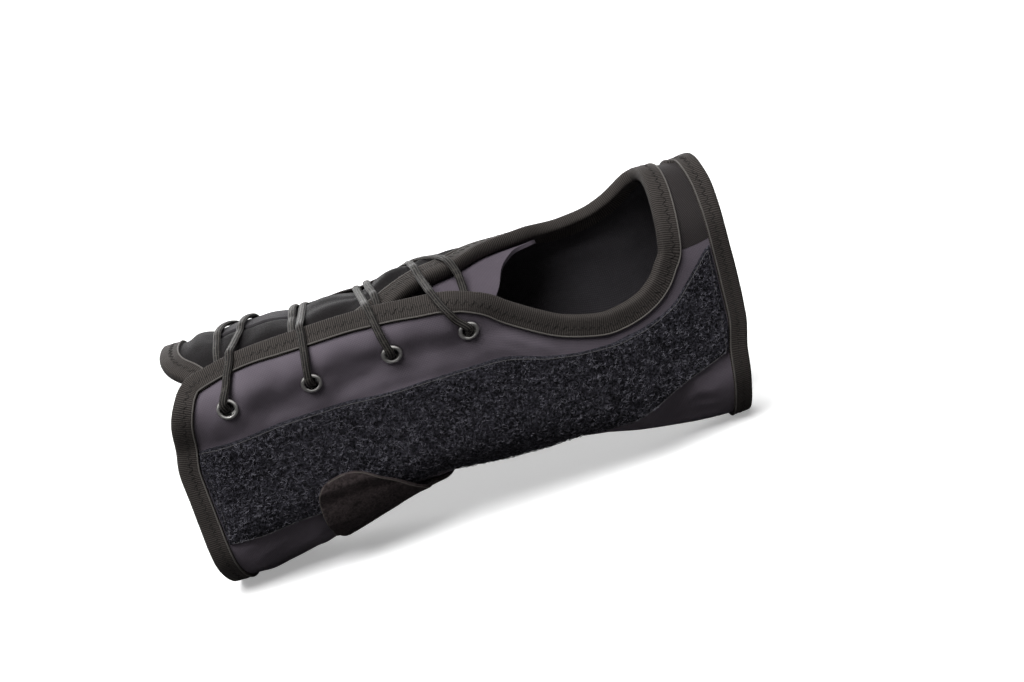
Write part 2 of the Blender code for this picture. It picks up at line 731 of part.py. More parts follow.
# ---- back stay and its pocket, inside the flap -------------------------------
back_stay_grid = [[(x, t) for t in steps(*BACK_STAY_T, 4)] for x in steps(*BACK_STAY_X, 5)]
slab(
    "back_stay", back_stay_grid,
    lambda x, t: skin(x, t, BACK_STAY_IN),
    lambda x, t: skin(x, t, BACK_STAY_OUT),
    PLASTIC, origin=FLAP_AXIS,
)
pocket_grid = [[(x, t) for t in steps(*POCKET_T, 5)] for x in steps(*POCKET_X, 6)]
slab(
    "back_stay_pocket", pocket_grid,
    lambda x, t: skin(x, t, POCKET_IN),
    lambda x, t: skin(x, t, POCKET_OUT),
    LINING, origin=FLAP_AXIS,
)

# ---- blank patch on the back -------------------------------------------------
patch_grid = [[(x, t) for t in steps(*PATCH_T, 4)] for x in steps(*PATCH_X, 2)]
slab(
    "blank_patch", patch_grid,
    lambda x, t: skin(x, t, PATCH_IN),
    lambda x, t: skin(x, t, PATCH_OUT),
    LINING, origin=FLAP_AXIS,
)


# ---- strap over the back, laces sewn under its cover -------------------------
def strap_limits(t):
    """Stations of the strap's two edges; it narrows toward the hook tab."""
    s = 1 - ease(STRAP_NARROW_T, STRAP_FROM_T, t)
    return mix(STRAP_AT_LACES[0], STRAP_AT_TAB[0], s), mix(STRAP_AT_LACES[1], STRAP_AT_TAB[1], s)


strap_grid = []
for t in steps(-ULNAR_SPLIT, -140, 6) + steps(-140, STRAP_FROM_T, 11)[1:]:
    low, high = strap_limits(t)
    strap_grid.append([(mix(low, high, u), t) for u in steps(0, 1, 6)])
slab(
    "pull_strap", strap_grid,
    lambda x, t: skin(x, t, STRAP_IN),
    lambda x, t: skin(x, t, STRAP_OUT),
    TAPE_LOOK, origin=FLAP_AXIS,
)
cover_grid = []
for t in steps(COVER_FROM_T, COVER_TO_T, 5):
    low, high = strap_limits(t)
    cover_grid.append([(mix(low, high, u), t) for u in steps(0.01, 0.99, 6)])
slab(
    "lace_cover", cover_grid,
    lambda x, t: skin(x, t, COVER_IN),
    lambda x, t: skin(x, t, COVER_OUT),
    TAPE_LOOK, origin=FLAP_AXIS,
)


# ---- hook tab ----------------------------------------------------------------
def tab_floor(x, t):
    """Clear of the pile panel, then down onto the palm panel past its edge."""
    edge = smooth(LOOP_BOTTOM, x)
    pile_part = 1 - ease(edge + 2, edge + 10, t)
    foot = stay_side(x, STAY_FOOT, 1)
    stay_part = 1 - ease(foot - 4, foot + 4, t)
    rise = STAY_RISE * stay_part
    return PANEL_OUT + TAPE_GAP + (PILE_THICK + PILE_GAP) * pile_part + rise


TAB_SHAPE = [
    (107.2, 46.0, 50.5), (108.6, 43.4, 54.2), (111, 41.6, 57.2), (115, 40.2, 60.4), (119, 39.5, 63.2),
    (124, 39.2, 66.6), (130, 39.0, 70.3), (138, 39.0, 74.5), (148, 39.8, 78.3), (160, 41.0, 81.5),
    (170, 42.2, 84.0), (179.4, 43.0, 86.0),
]
TAB_LOW = [(t, low) for t, low, high in TAB_SHAPE]
TAB_HIGH = [(t, high) for t, low, high in TAB_SHAPE]
HOOK_THICK = 0.9
HOOK_END_T = 136.0
TAB_THICK = 1.5


def tab_row(t, inset, count):
    """Places across the tab at one angle, drawn in from its two edges."""
    low = smooth(TAB_LOW, t) + inset
    high = smooth(TAB_HIGH, t) - inset
    return [(mix(low, high, u), t) for u in steps(0, 1, count)]


def tab_under(x, t):
    """The backing rides over the hook face, then drops onto the palm panel."""
    over_hook = 1 - ease(HOOK_END_T + 4, HOOK_END_T + 12, t)
    return tab_floor(x, t) + (HOOK_THICK + GAP) * over_hook


hook_grid = [tab_row(t, 1.0, 3) for t in [110, 113, 118, 124, 130, HOOK_END_T]]
slab(
    "hook_face", hook_grid,
    lambda x, t: skin(x, t, tab_floor(x, t)),
    lambda x, t: skin(x, t, tab_floor(x, t) + HOOK_THICK),
    HOOK, origin=TAB_AXIS,
)
tab_ts = [107.2, 108.6, 111, 115, 119, 124, 130, 136, 140, 145, 151, 157, 163, 168, 172, 176, 179.4]
tab_grid = [tab_row(t, 0.0, 3) for t in tab_ts]
slab(
    "hook_tab", tab_grid,
    lambda x, t: skin(x, t, tab_under(x, t)),
    lambda x, t: skin(x, t, tab_under(x, t) + TAB_THICK),
    TAPE_LOOK, origin=TAB_AXIS,
)


# ---- laces -------------------------------------------------------------------
def low_height(t):
    """Height of a cord lying on the flap, and from there on the strap."""
    return mix(CORD_LOW, CORD_ON_FLAP, ease(STRAP_FROM_T + 6, STRAP_FROM_T + 14, t))


def lace_height(x, t):
    """Height of the cord over the palm panel."""
    over_panel = PANEL_OUT + lift(x, t) + CORD_OVER_PANEL
    return max(over_panel, CORD_TOP - CORD_TOP_DROP * ease(54, 60, t))


def over_strand(frame, path, touch_t):
    """Points from behind the eyelet, straight off the panel's edge, then down to the strap."""
    centre, along, normal = frame
    toward = along.cross(normal) * CORD_LEAN
    eyelet_t = path[-1][0]
    edge_t = smooth(PALM_TOP_EDGE, smooth(path, path[-2][0]))
    points = [centre + normal * h for h in CORD_THROUGH]
    points.append(centre - toward + normal * CORD_LEAN_HEIGHT)
    for u in [0.3] + steps(0.55, 1, 3):
        t = mix(eyelet_t, edge_t, u)
        x = smooth(path, t)
        points.append(skin(x, t, lace_height(x, t)))
    edge = points[-1]
    touch = skin(smooth(path, touch_t), touch_t, CORD_ON_FLAP)
    points += [edge.lerp(touch, u) for u in (0.3, 0.6)]
    for t in steps(touch_t, BIGHT_T, 6):
        points.append(skin(smooth(path, t), t, low_height(t)))
    return points


def under_strand(path):
    """Points from the strap over the flap to where the cord passes below the panel edge."""
    points = []
    for t in steps(BIGHT_T, path[-1][0], 8):
        points.append(skin(smooth(path, t), t, low_height(t)))
    return points


def bight(x_in, x_out):
    """Half turn joining two strands under the lace cover."""
    middle = (x_in + x_out) / 2
    half = (x_out - x_in) / 2
    points = []
    for k in range(1, 4):
        angle = math.pi * k / 4
        x = middle - half * math.cos(angle)
        points.append(skin(x, BIGHT_T - BIGHT_REACH * math.sin(angle), CORD_LOW))
    return points


# Angle, station and height of the last cord: round the end of the slit and in
# between tongue and panel.
SLIT_STRAND = [
    (BIGHT_T, SLIT_FROM_X, CORD_LOW), (-32, 86.5, 6.3), (-22, 90.0, CORD_ON_FLAP),
    (-10, 96.0, CORD_ON_FLAP),
    (1, 102.0, CORD_ON_FLAP), (10, 105.5, CORD_ON_FLAP), (17, 107.2, CORD_ON_FLAP), (22, 108.2, 5.3),
    (28, 109.3, 3.0), (34, 109.6, 1.3), (41, 109.6, 1.15), (47, 109.6, 1.15),
]

for number, (frame, path, touch_t) in enumerate(zip(eyelet_frames, OVER_PATHS, CORD_TOUCH_T), 1):
    if number <= len(UNDER_PATHS):
        below = under_strand(UNDER_PATHS[number - 1])
        turn_x = UNDER_PATHS[number - 1][0][1]
    else:
        below = [skin(x, t, height) for t, x, height in SLIT_STRAND]
        turn_x = SLIT_FROM_X
    points = over_strand(frame, path, touch_t) + bight(path[0][1], turn_x) + below
    tube("lace_%d" % number, points, CORD_R, CORD)

for number, (centre, along, normal) in enumerate(eyelet_frames, 1):
    bm = bmesh.new()
    bmesh.ops.create_icosphere(bm, subdivisions=2, radius=1.0)
    turn = Matrix((along, normal.cross(along), normal)).transposed()
    place = centre + normal * KNOT_HEIGHT
    for vert in bm.verts:
        vert.co = place + turn @ (vert.co * Vector(KNOT_HALF_SIZE))
    add_object("lace_knot_%d" % number, bm, *CORD)
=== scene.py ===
import json
import math

import bpy
import numpy as np
from mathutils import Matrix, Vector

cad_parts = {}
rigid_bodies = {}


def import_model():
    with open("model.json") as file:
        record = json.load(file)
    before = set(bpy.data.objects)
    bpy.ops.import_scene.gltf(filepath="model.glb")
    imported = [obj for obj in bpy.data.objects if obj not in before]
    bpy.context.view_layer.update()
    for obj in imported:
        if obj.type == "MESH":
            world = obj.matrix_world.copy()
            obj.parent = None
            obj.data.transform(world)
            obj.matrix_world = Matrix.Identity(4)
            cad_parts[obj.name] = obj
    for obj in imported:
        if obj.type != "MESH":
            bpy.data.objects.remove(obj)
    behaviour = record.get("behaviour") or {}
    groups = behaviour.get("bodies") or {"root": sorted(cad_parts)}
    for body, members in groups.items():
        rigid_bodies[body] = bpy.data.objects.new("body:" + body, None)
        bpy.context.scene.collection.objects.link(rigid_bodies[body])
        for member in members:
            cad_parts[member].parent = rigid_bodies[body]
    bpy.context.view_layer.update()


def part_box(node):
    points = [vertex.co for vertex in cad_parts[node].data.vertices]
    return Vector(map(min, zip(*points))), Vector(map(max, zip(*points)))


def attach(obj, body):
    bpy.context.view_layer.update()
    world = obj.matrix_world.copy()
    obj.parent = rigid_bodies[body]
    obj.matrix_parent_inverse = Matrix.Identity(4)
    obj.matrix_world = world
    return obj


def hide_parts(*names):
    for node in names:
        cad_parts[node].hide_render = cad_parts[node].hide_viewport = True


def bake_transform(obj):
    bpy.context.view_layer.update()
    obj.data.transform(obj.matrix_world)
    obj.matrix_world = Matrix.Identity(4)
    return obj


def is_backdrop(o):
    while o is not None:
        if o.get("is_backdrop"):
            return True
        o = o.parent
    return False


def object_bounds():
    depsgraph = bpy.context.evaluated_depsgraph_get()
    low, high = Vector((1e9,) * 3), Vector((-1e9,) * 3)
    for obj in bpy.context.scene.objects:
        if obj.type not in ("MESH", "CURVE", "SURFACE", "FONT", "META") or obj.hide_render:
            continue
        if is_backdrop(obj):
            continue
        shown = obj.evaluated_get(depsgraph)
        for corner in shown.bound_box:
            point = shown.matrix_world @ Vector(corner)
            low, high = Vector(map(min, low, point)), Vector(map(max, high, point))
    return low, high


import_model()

# Lengths below are millimetres and angles degrees; meshes are written in metres.
# A place on the shell is a station x along the forearm and an angle t round it:
# 0 thumb side, 90 palm, 180 little finger, -90 back.  n is height above the
# innermost skin of the shell.
MM = 0.001
RNG = np.random.default_rng(7)

# ---- shape of the shell, the same rule that the CAD part follows -------------
HALF_WIDTH = [(-6, 40.9), (12, 40.7), (40, 39.5), (90, 34.4), (130, 35.4), (165, 41.7), (206, 46.2)]
HALF_DEPTH = [(-6, 31.5), (12, 31.0), (40, 29.5), (90, 25.0), (130, 23.0), (165, 20.5), (206, 18.5)]
BOTTOM_Z = [(-6, 4.0), (12, 4.0), (40, 9.2), (90, 20.6), (130, 18.2), (165, 9.2), (195, 4.2), (206, 4.1)]
PALM_Y = [(-6, -29.6), (12, -29.6), (40, -29.6), (90, -29.6), (130, -26.6), (165, -19.6), (206, -9.6)]
ROUNDNESS = 2.2
FLAT_START = 0.74
FLAT_FULL = 0.93
LENGTH = 200.0
RIM_BLEND = 34.0
THUMB_RISE = 3.6
THUMB_RISE_X = 180.0
THUMB_RISE_REACH = 12.0
PRESS = [
    (-6, 0.0), (20, 0.0), (28, 0.4), (38, 2.0), (50, 3.9), (62, 3.4), (72, 3.5), (80, 2.0), (88, 0.7),
    (98, 0.0), (206, 0.0),
]
PRESS_BACK_T = (-60.0, -25.0)
PRESS_PALM_T = (8.0, 36.0)
PANEL_IN = 0.3
PANEL_OUT = 3.3
MID_N = (PANEL_IN + PANEL_OUT) / 2
LIFT = 5.7
LIFT_T = (49.5, 72.0)
LIFT_X = (98.0, 130.0)

PALM_TOP_EDGE = [
    (0, 39.5), (12, 38), (28, 36.8), (43, 38.3), (57, 39.3), (68, 39.8), (78.5, 40.8), (88.5, 42.3),
    (98.5, 43.8), (108, 46.3), (117, 50.5), (122, 56.5), (132, 68), (138, 74), (146, 78.5), (154, 81),
    (161, 80), (168, 77), (174, 71), (179, 62), (200, 62),
]
PALM_REAR_RIM = [
    (38, 13), (40, 10.5), (43, 8.2), (46.5, 6.3), (50, 4.6), (57, 2), (69, 0), (83, -2),
    (109, -2), (136, -2), (158, -1.5), (180, -1),
]
FRONT_RIM = [
    (-180, 197), (-90, 197), (-30, 197.5), (-6, 199), (4, 202), (22, 203), (38, 203.5),
    (62, 203), (98, 202), (116, 199), (160, 197), (180, 197),
]
BACK_EDGE = [
    (0, 48.5), (60, 48.5), (70, 46), (80, 39), (96, 22), (108, 16), (119, 3), (134, -8), (142, -20),
    (150, -27), (160, -28.5), (168, -25.5), (175, -18), (179, -10), (181, -8), (200, -8),
]
FLAP_REAR_RIM = [
    (-180, -1), (-140, -1), (-90, -2), (-40, -1.5), (-10, -0.8), (8, -0.4), (16, 0.6), (22.5, 2.4),
    (27, 4.4), (31.5, 7.4), (38, 11), (48.5, 14),
]
STRAP_HOLE_EDGE = [(-8, 180), (4, 182), (22, 182.5), (38, 182), (50, 181), (62, 179.5)]
TONGUE_END = [(-26, 140), (-8, 138), (2, 131), (12, 128), (26, 124.5), (41, 122), (48, 120), (62, 117)]
LOOP_TOP = [
    (6, 72), (26, 74), (50, 78), (78, 84), (108, 84.5), (126, 90), (138, 92.3), (148, 92.6),
    (156, 91.3), (162, 90.2), (168, 88.2), (174, 84.6), (180, 77.8), (186, 70.5), (190, 66), (196, 63),
]
LOOP_BOTTOM = [
    (6, 119), (24, 121), (38, 125), (60, 133), (80, 142), (95, 150), (109, 157), (120, 156),
    (132, 147), (150, 138), (162, 129), (179, 118), (192, 111),
]
EYELETS = [(21.5, 55.5), (51.0, 60.0), (80.0, 61.5), (106.5, 62.4)]
STAY_CENTRE = [(0, 91), (50, 94.5), (80, 101), (108, 105), (126, 109), (150, 112), (170, 113)]
STAY_HALF_WIDTH = [(0, 10.5), (110, 10.5), (150, 10.0), (157, 9.5)]


def curve(pairs):
    """Monotone cubic through the pairs, as a function of an array."""
    xs = np.array([p[0] for p in pairs], float)
    ys = np.array([p[1] for p in pairs], float)
    h = np.diff(xs)
    d = np.diff(ys) / h
    m = np.zeros_like(ys)
    for i in range(1, len(xs) - 1):
        if d[i - 1] * d[i] > 0:
            w1 = 2 * h[i] + h[i - 1]
            w2 = h[i] + 2 * h[i - 1]
            m[i] = (w1 + w2) / (w1 / d[i - 1] + w2 / d[i])
    m[0] = d[0]
    m[-1] = d[-1]

    def value(at):
        at = np.clip(np.asarray(at, float), xs[0], xs[-1])
        i = np.clip(np.searchsorted(xs, at, side="right") - 1, 0, len(xs) - 2)
        s = (at - xs[i]) / h[i]
        return ((2 * s ** 3 - 3 * s ** 2 + 1) * ys[i] + (s ** 3 - 2 * s ** 2 + s) * h[i] * m[i]
                + (-2 * s ** 3 + 3 * s ** 2) * ys[i + 1] + (s ** 3 - s ** 2) * h[i] * m[i + 1])
    return value


half_width = curve(HALF_WIDTH)
half_depth = curve(HALF_DEPTH)
bottom_z = curve(BOTTOM_Z)
palm_y = curve(PALM_Y)
palm_top = curve(PALM_TOP_EDGE)
palm_rear = curve(PALM_REAR_RIM)
front_rim = curve(FRONT_RIM)
back_edge = curve(BACK_EDGE)
flap_rear = curve(FLAP_REAR_RIM)
strap_edge = curve(STRAP_HOLE_EDGE)
tongue_end = curve(TONGUE_END)
loop_top = curve(LOOP_TOP)
loop_bottom = curve(LOOP_BOTTOM)
stay_centre = curve(STAY_CENTRE)
stay_half = curve(STAY_HALF_WIDTH)
press_depth = curve(PRESS)


def ease(low, high, at):
    """0 below low, 1 above high, smooth between them."""
    s = np.clip((np.asarray(at, float) - low) / (high - low), 0, 1)
    return s * s * (3 - 2 * s)


def base_point(x, t):
    """Point of the innermost skin."""
    x, t = np.broadcast_arrays(np.asarray(x, float), np.asarray(t, float))
    a = half_width(x)
    b = half_depth(x)
    angle = np.radians(t)
    power = 2 / ROUNDNESS
    c = np.cos(angle)
    s = np.sin(angle)
    across = np.sign(c) * np.abs(c) ** power
    deep = np.sign(s) * np.abs(s) ** power
    part = np.minimum(deep, FLAT_FULL)
    span = FLAT_FULL - FLAT_START
    part = np.where(part > FLAT_START, part - (part - FLAT_START) ** 2 / (2 * span), part)
    deep = np.where(deep > 0, part / (FLAT_FULL - span / 2), deep)
    rise = THUMB_RISE * np.exp(-((x - THUMB_RISE_X) / THUMB_RISE_REACH) ** 2) * np.maximum(across, 0) ** 3
    pressed = press_depth(x) * ease(*PRESS_BACK_T, t) * (1 - ease(*PRESS_PALM_T, t))
    return np.stack([x, palm_y(x) + b * (1 - deep), bottom_z(x) + a + a * across + rise - pressed], -1)


def unit(v):
    """Vectors brought to length one."""
    return v / np.maximum(np.linalg.norm(v, axis=-1, keepdims=True), 1e-12)


def base_normal(x, t):
    """Outward direction of the innermost skin."""
    along = base_point(np.asarray(x) + 0.5, t) - base_point(np.asarray(x) - 0.5, t)
    around = base_point(x, np.asarray(t) + 0.4) - base_point(x, np.asarray(t) - 0.4)
    return unit(np.cross(around, along))


def skin(x, t, n):
    """Point lying n outside the innermost skin, never below the rest plane."""
    point = base_point(x, t) + base_normal(x, t) * np.asarray(n, float)[..., None]
    point[..., 2] = np.maximum(point[..., 2], 0.0)
    return point


def lift(x, t):
    """How far the palm panel rides up over the flap beside the lacing."""
    return LIFT * (1 - ease(*LIFT_T, t)) * (1 - ease(*LIFT_X, x))


def palm_skin(x, t, n):
    """Same as skin, on the palm panel that rides over the flap."""
    return skin(x, t, np.asarray(n, float) + lift(x, t))


def surface_normal(surface, x, t, n):
    """Outward direction of any of the surfaces."""
    along = surface(np.asarray(x) + 0.5, t, n) - surface(np.asarray(x) - 0.5, t, n)
    around = surface(x, np.asarray(t) + 0.8, n) - surface(x, np.asarray(t) - 0.8, n)
    return unit(np.cross(around, along))


def mm_per_degree(x, t):
    """Length round the shell that one degree covers."""
    return np.linalg.norm(base_point(x, np.asarray(t) + 1) - base_point(x, np.asarray(t) - 1), axis=-1) / 2


def walk(surface, x, t, heading, distance, n, pieces=4):
    """Stations and angles reached by going a distance over the surface, for whole arrays."""
    for _ in range(pieces):
        along = surface(x + 0.5, t, n) - surface(x - 0.5, t, n)
        around = surface(x, t + 0.5, n) - surface(x, t - 0.5, n)
        normal = unit(np.cross(around, along))
        heading = unit(heading - normal * np.sum(heading * normal, -1, keepdims=True))
        step = heading * (distance / pieces)
        aa = np.sum(along * along, -1)
        bb = np.sum(around * around, -1)
        ab = np.sum(along * around, -1)
        sa = np.sum(step * along, -1)
        sb = np.sum(step * around, -1)
        det = aa * bb - ab * ab
        x = x + (sa * bb - sb * ab) / det
        t = t + (sb * aa - sa * ab) / det
    return x, t


# ---- node materials ----------------------------------------------------------
class Nodes:
    """Small helper that builds a node tree from left to right."""

    def __init__(self, name):
        self.material = bpy.data.materials.new(name)
        self.material.use_nodes = True
        self.tree = self.material.node_tree
        self.shader = self.tree.nodes["Principled BSDF"]
        self.column = 0

    def add(self, kind, inputs=None, **settings):
        """New node with its inputs set or linked."""
        node = self.tree.nodes.new(kind)
        self.column += 1
        node.location = (-1400 + 160 * (self.column % 9), -220 * (self.column // 9))
        for key, value in settings.items():
            setattr(node, key, value)
        for key, value in (inputs or {}).items():
            self.put(node.inputs[key], value)
        return node

    def put(self, socket, value):
        """Link another node's output to a socket, or set its value."""
        if isinstance(value, bpy.types.NodeSocket):
            self.tree.links.new(value, socket)
        elif isinstance(value, tuple) and len(value) == 3 and socket.type == "RGBA":
            socket.default_value = (*value, 1.0)
        else:
            socket.default_value = value

    def maths(self, operation, a, b=0.0, c=0.0):
        """Output of a maths node."""
        node = self.add("ShaderNodeMath", {0: a, 1: b, 2: c}, operation=operation)
        return node.outputs[0]

    def times(self, a, b):
        return self.maths("MULTIPLY", a, b)

    def plus(self, a, b):
        return self.maths("ADD", a, b)

    def scaled(self, a, factor, offset):
        return self.maths("MULTIPLY_ADD", a, factor, offset)

    def ramp(self, factor, stops):
        """Colour from a value, by (place, colour) stops."""
        node = self.add("ShaderNodeValToRGB", {"Fac": factor})
        ramp = node.color_ramp
        while len(ramp.elements) < len(stops):
            ramp.elements.new(0.5)
        for element, (place, colour) in zip(ramp.elements, stops):
            element.position = place
            element.color = (*colour, 1.0)
        return node.outputs["Color"]

    def mix(self, factor, a, b):
        """Colour between two colours."""
        node = self.add("ShaderNodeMix", data_type="RGBA")
        self.put(node.inputs[0], factor)
        self.put(node.inputs[6], a)
        self.put(node.inputs[7], b)
        return node.outputs[2]

    def noise(self, vector, scale, detail=3.0, rough=0.5):
        """Noise value, 0 to 1, in features per metre."""
        inputs = {"Vector": vector, "Scale": scale, "Detail": detail, "Roughness": rough}
        return self.add("ShaderNodeTexNoise", inputs).outputs["Fac"]

    def bump(self, height, strength, distance, normal=None):
        """Normal bent by a height; distance is in metres."""
        inputs = {"Height": height, "Strength": strength, "Distance": distance}
        node = self.add("ShaderNodeBump", inputs)
        if normal is not None:
            self.put(node.inputs["Normal"], normal)
        return node.outputs["Normal"]

    def place(self):
        """Place on the piece, in metres."""
        return self.add("ShaderNodeTexCoord").outputs["Object"]

    def uv(self):
        """The piece's own sewn-surface coordinates, in millimetres."""
        node = self.add("ShaderNodeUVMap", uv_map="cloth")
        split = self.add("ShaderNodeSeparateXYZ", {0: node.outputs[0]})
        return split.outputs[0], split.outputs[1]

    def finish(self, colour, roughness, normal=None, metallic=0.0, sheen=0.0, sheen_rough=0.4,
               sheen_tint=(0.5, 0.5, 0.55), specular=0.5):
        """Set the surface and give back the material."""
        surface = {
            "Base Color": colour, "Roughness": roughness, "Metallic": metallic, "Sheen Weight": sheen,
            "Sheen Roughness": sheen_rough, "Sheen Tint": sheen_tint, "Specular IOR Level": specular,
        }
        if normal is not None:
            surface["Normal"] = normal
        for key, value in surface.items():
            self.put(self.shader.inputs[key], value)
        return self.material


def wave(nodes, value, pitch, phase=0.0):
    """Sine of a length in millimetres, 0 to 1, one cycle in `pitch`."""
    turned = nodes.scaled(value, math.tau / pitch, phase)
    return nodes.scaled(nodes.maths("SINE", turned), 0.5, 0.5)


def knit_material(name, dark, light, pitch=0.55, sheen=0.35, depth=0.05):
    """Fine jersey face: small V stitches in wales, soft mottling and a little lint."""
    n = Nodes(name)
    u, v = n.uv()
    slant = n.maths("ABSOLUTE", n.maths("SUBTRACT", n.maths("FRACT", n.maths("DIVIDE", v, pitch * 1.1)), 0.5))
    rows = wave(n, n.plus(u, n.times(slant, pitch)), pitch)
    wales = n.scaled(slant, -2.0, 1.0)
    stitch = n.times(n.maths("POWER", rows, 0.7), n.maths("POWER", wales, 0.6))
    where = n.place()
    cloudy = n.noise(where, 42.0, 4.0, 0.6)
    fine = n.noise(where, 900.0, 2.0, 0.6)
    lint = n.noise(where, 2600.0, 1.0, 0.4)
    tone = n.plus(n.times(cloudy, 0.55), n.times(stitch, 0.35))
    colour = n.ramp(tone, [(0.2, dark), (0.75, light)])
    speck = n.maths("GREATER_THAN", lint, 0.79)
    colour = n.mix(n.times(speck, 0.25), colour, (0.10, 0.10, 0.11))
    rough = n.scaled(fine, 0.16, 0.66)
    height = n.plus(n.times(stitch, 1.0), n.times(fine, 0.5))
    first = n.bump(height, 0.7, depth * MM * 2)
    normal = n.bump(cloudy, 0.25, 0.0012, first)
    return n.finish(colour, rough, normal, sheen=sheen, sheen_rough=0.45, specular=0.10)


def tape_material(name, dark, light):
    """Knitted binding: close ribs across the tape with a few slubs."""
    n = Nodes(name)
    u, v = n.uv()
    where = n.place()
    wobble = n.times(n.noise(where, 240.0, 2.0), 0.5)
    ribs = wave(n, n.plus(u, wobble), 0.72)
    across = wave(n, n.plus(v, wobble), 0.46)
    cloudy = n.noise(where, 70.0, 3.0)
    fine = n.noise(where, 1500.0, 2.0)
    weave = n.times(n.maths("POWER", ribs, 0.8), n.scaled(across, 0.45, 0.55))
    tone = n.plus(n.times(weave, 0.7), n.times(cloudy, 0.3))
    colour = n.ramp(tone, [(0.15, dark), (0.9, light)])
    rough = n.scaled(fine, 0.2, 0.6)
    height = n.plus(weave, n.times(fine, 0.35))
    normal = n.bump(height, 0.8, 0.00016)
    return n.finish(colour, rough, normal, sheen=0.03, sheen_rough=0.4, specular=0.10)


def pile_material(name, dark, light):
    """Unbroken loop pile: tangled curls, dark gaps and small bright fibres."""
    n = Nodes(name)
    where = n.place()
    warp = n.add("ShaderNodeTexNoise", {"Vector": where, "Scale": 420.0, "Detail": 2.0}).outputs["Color"]
    mixed = n.add("ShaderNodeMix", data_type="VECTOR")
    n.put(mixed.inputs[0], 0.0022)
    n.put(mixed.inputs[4], where)
    n.put(mixed.inputs[5], warp)
    inputs = {"Vector": mixed.outputs[1], "Scale": 760.0}
    curls = n.add("ShaderNodeTexVoronoi", inputs, feature="DISTANCE_TO_EDGE").outputs["Distance"]
    strands = n.maths("POWER", n.maths("MINIMUM", n.times(curls, 4.0), 1.0), 0.5)
    fibre = n.noise(mixed.outputs[1], 1050.0, 3.0, 0.65)
    patches = n.noise(where, 120.0, 3.0)
    tone = n.plus(n.times(fibre, 0.85), n.times(patches, 0.15))
    colour = n.ramp(tone, [(0.41, dark), (0.62, light)])
    bright = n.ramp(fibre, [(0.60, (0.0, 0.0, 0.0)), (0.68, (1.0, 1.0, 1.0))])
    colour = n.mix(bright, colour, (0.095, 0.093, 0.110))
    height = n.plus(n.times(fibre, 1.2), n.times(strands, 0.5))
    normal = n.bump(height, 1.0, 0.0009)
    return n.finish(colour, 0.85, normal, sheen=0.04, sheen_rough=0.35,
                    sheen_tint=(0.42, 0.44, 0.55), specular=0.08)


def cord_material(name, dark, light, ribs=9.0, pick=0.62):
    """Flat elastic braid: ribs running along it, crossed by fine slanting picks."""
    n = Nodes(name)
    u, v = n.uv()
    where = n.place()
    fine = n.noise(where, 2200.0, 2.0)
    drift = n.times(n.noise(where, 260.0, 2.0), 1.4)
    along = n.maths("SINE", n.plus(n.times(v, ribs), drift))
    slant = n.scaled(u, math.tau / pick, n.times(v, ribs * 0.5))
    ridge = n.scaled(along, 0.5, 0.5)
    ticks = n.scaled(n.maths("SINE", slant), 0.5, 0.5)
    ticked = n.times(n.times(ridge, ticks), 0.3)
    weave = n.plus(n.times(ridge, 0.7), ticked)
    fleck = n.maths("GREATER_THAN", n.noise(where, 700.0, 1.0), 0.6)
    tone = n.times(weave, n.scaled(fine, 0.4, 0.7))
    colour = n.ramp(tone, [(0.25, dark), (0.9, light)])
    colour = n.mix(n.times(fleck, 0.3), colour, (0.085, 0.080, 0.070))
    normal = n.bump(n.plus(weave, n.times(fine, 0.3)), 0.9, 0.00022)
    return n.finish(colour, 0.6, normal, sheen=0.03, specular=0.16)


def hook_material(name):
    """Moulded hook tape: a dense field of tiny stems."""
    n = Nodes(name)
    where = n.place()
    dots = n.add("ShaderNodeTexVoronoi", {"Vector": where, "Scale": 1100.0, "Randomness": 0.35})
    stem = n.maths("SUBTRACT", 1.0, n.times(dots.outputs["Distance"], 1.7))
    fine = n.noise(where, 1500.0, 2.0)
    cloudy = n.noise(where, 90.0, 2.0)
    tone = n.plus(n.times(stem, 0.7), n.times(cloudy, 0.3))
    colour = n.ramp(tone, [(0.3, (0.006, 0.005, 0.005)), (0.85, (0.034, 0.024, 0.021))])
    normal = n.bump(n.plus(stem, n.times(fine, 0.3)), 0.9, 0.0005)
    return n.finish(colour, n.scaled(fine, 0.2, 0.5), normal, sheen=0.15, specular=0.4)


def felt_material(name, dark, light):
    """Brushed backing of the hook tab: short matted fibres."""
    n = Nodes(name)
    where = n.place()
    fibre = n.noise(where, 1300.0, 4.0, 0.75)
    clumps = n.noise(where, 420.0, 2.0, 0.5)
    cloudy = n.noise(where, 60.0, 2.0)
    tone = n.plus(n.times(fibre, 0.6),
                   n.plus(n.times(clumps, 0.3), n.times(cloudy, 0.1)))
    colour = n.ramp(tone, [(0.38, dark), (0.62, light)])
    height = n.plus(fibre, n.times(clumps, 0.8))
    normal = n.bump(height, 0.9, 0.0005)
    return n.finish(colour, 0.88, normal, sheen=0.03, specular=0.08)


def thread_material(name, colour):
    """Twisted sewing thread."""
    n = Nodes(name)
    u, v = n.uv()
    twist = n.maths("SINE", n.plus(n.times(u, 14.0), n.times(v, 3.0)))
    fine = n.noise(n.place(), 1800.0, 2.0)
    darker = tuple(c * 0.55 for c in colour)
    tone = n.scaled(twist, 0.25, n.scaled(fine, 0.5, 0.25))
    shade = n.ramp(tone, [(0.2, darker), (0.8, colour)])
    normal = n.bump(twist, 0.6, 0.00008)
    return n.finish(shade, 0.6, normal, sheen=0.08, specular=0.2)


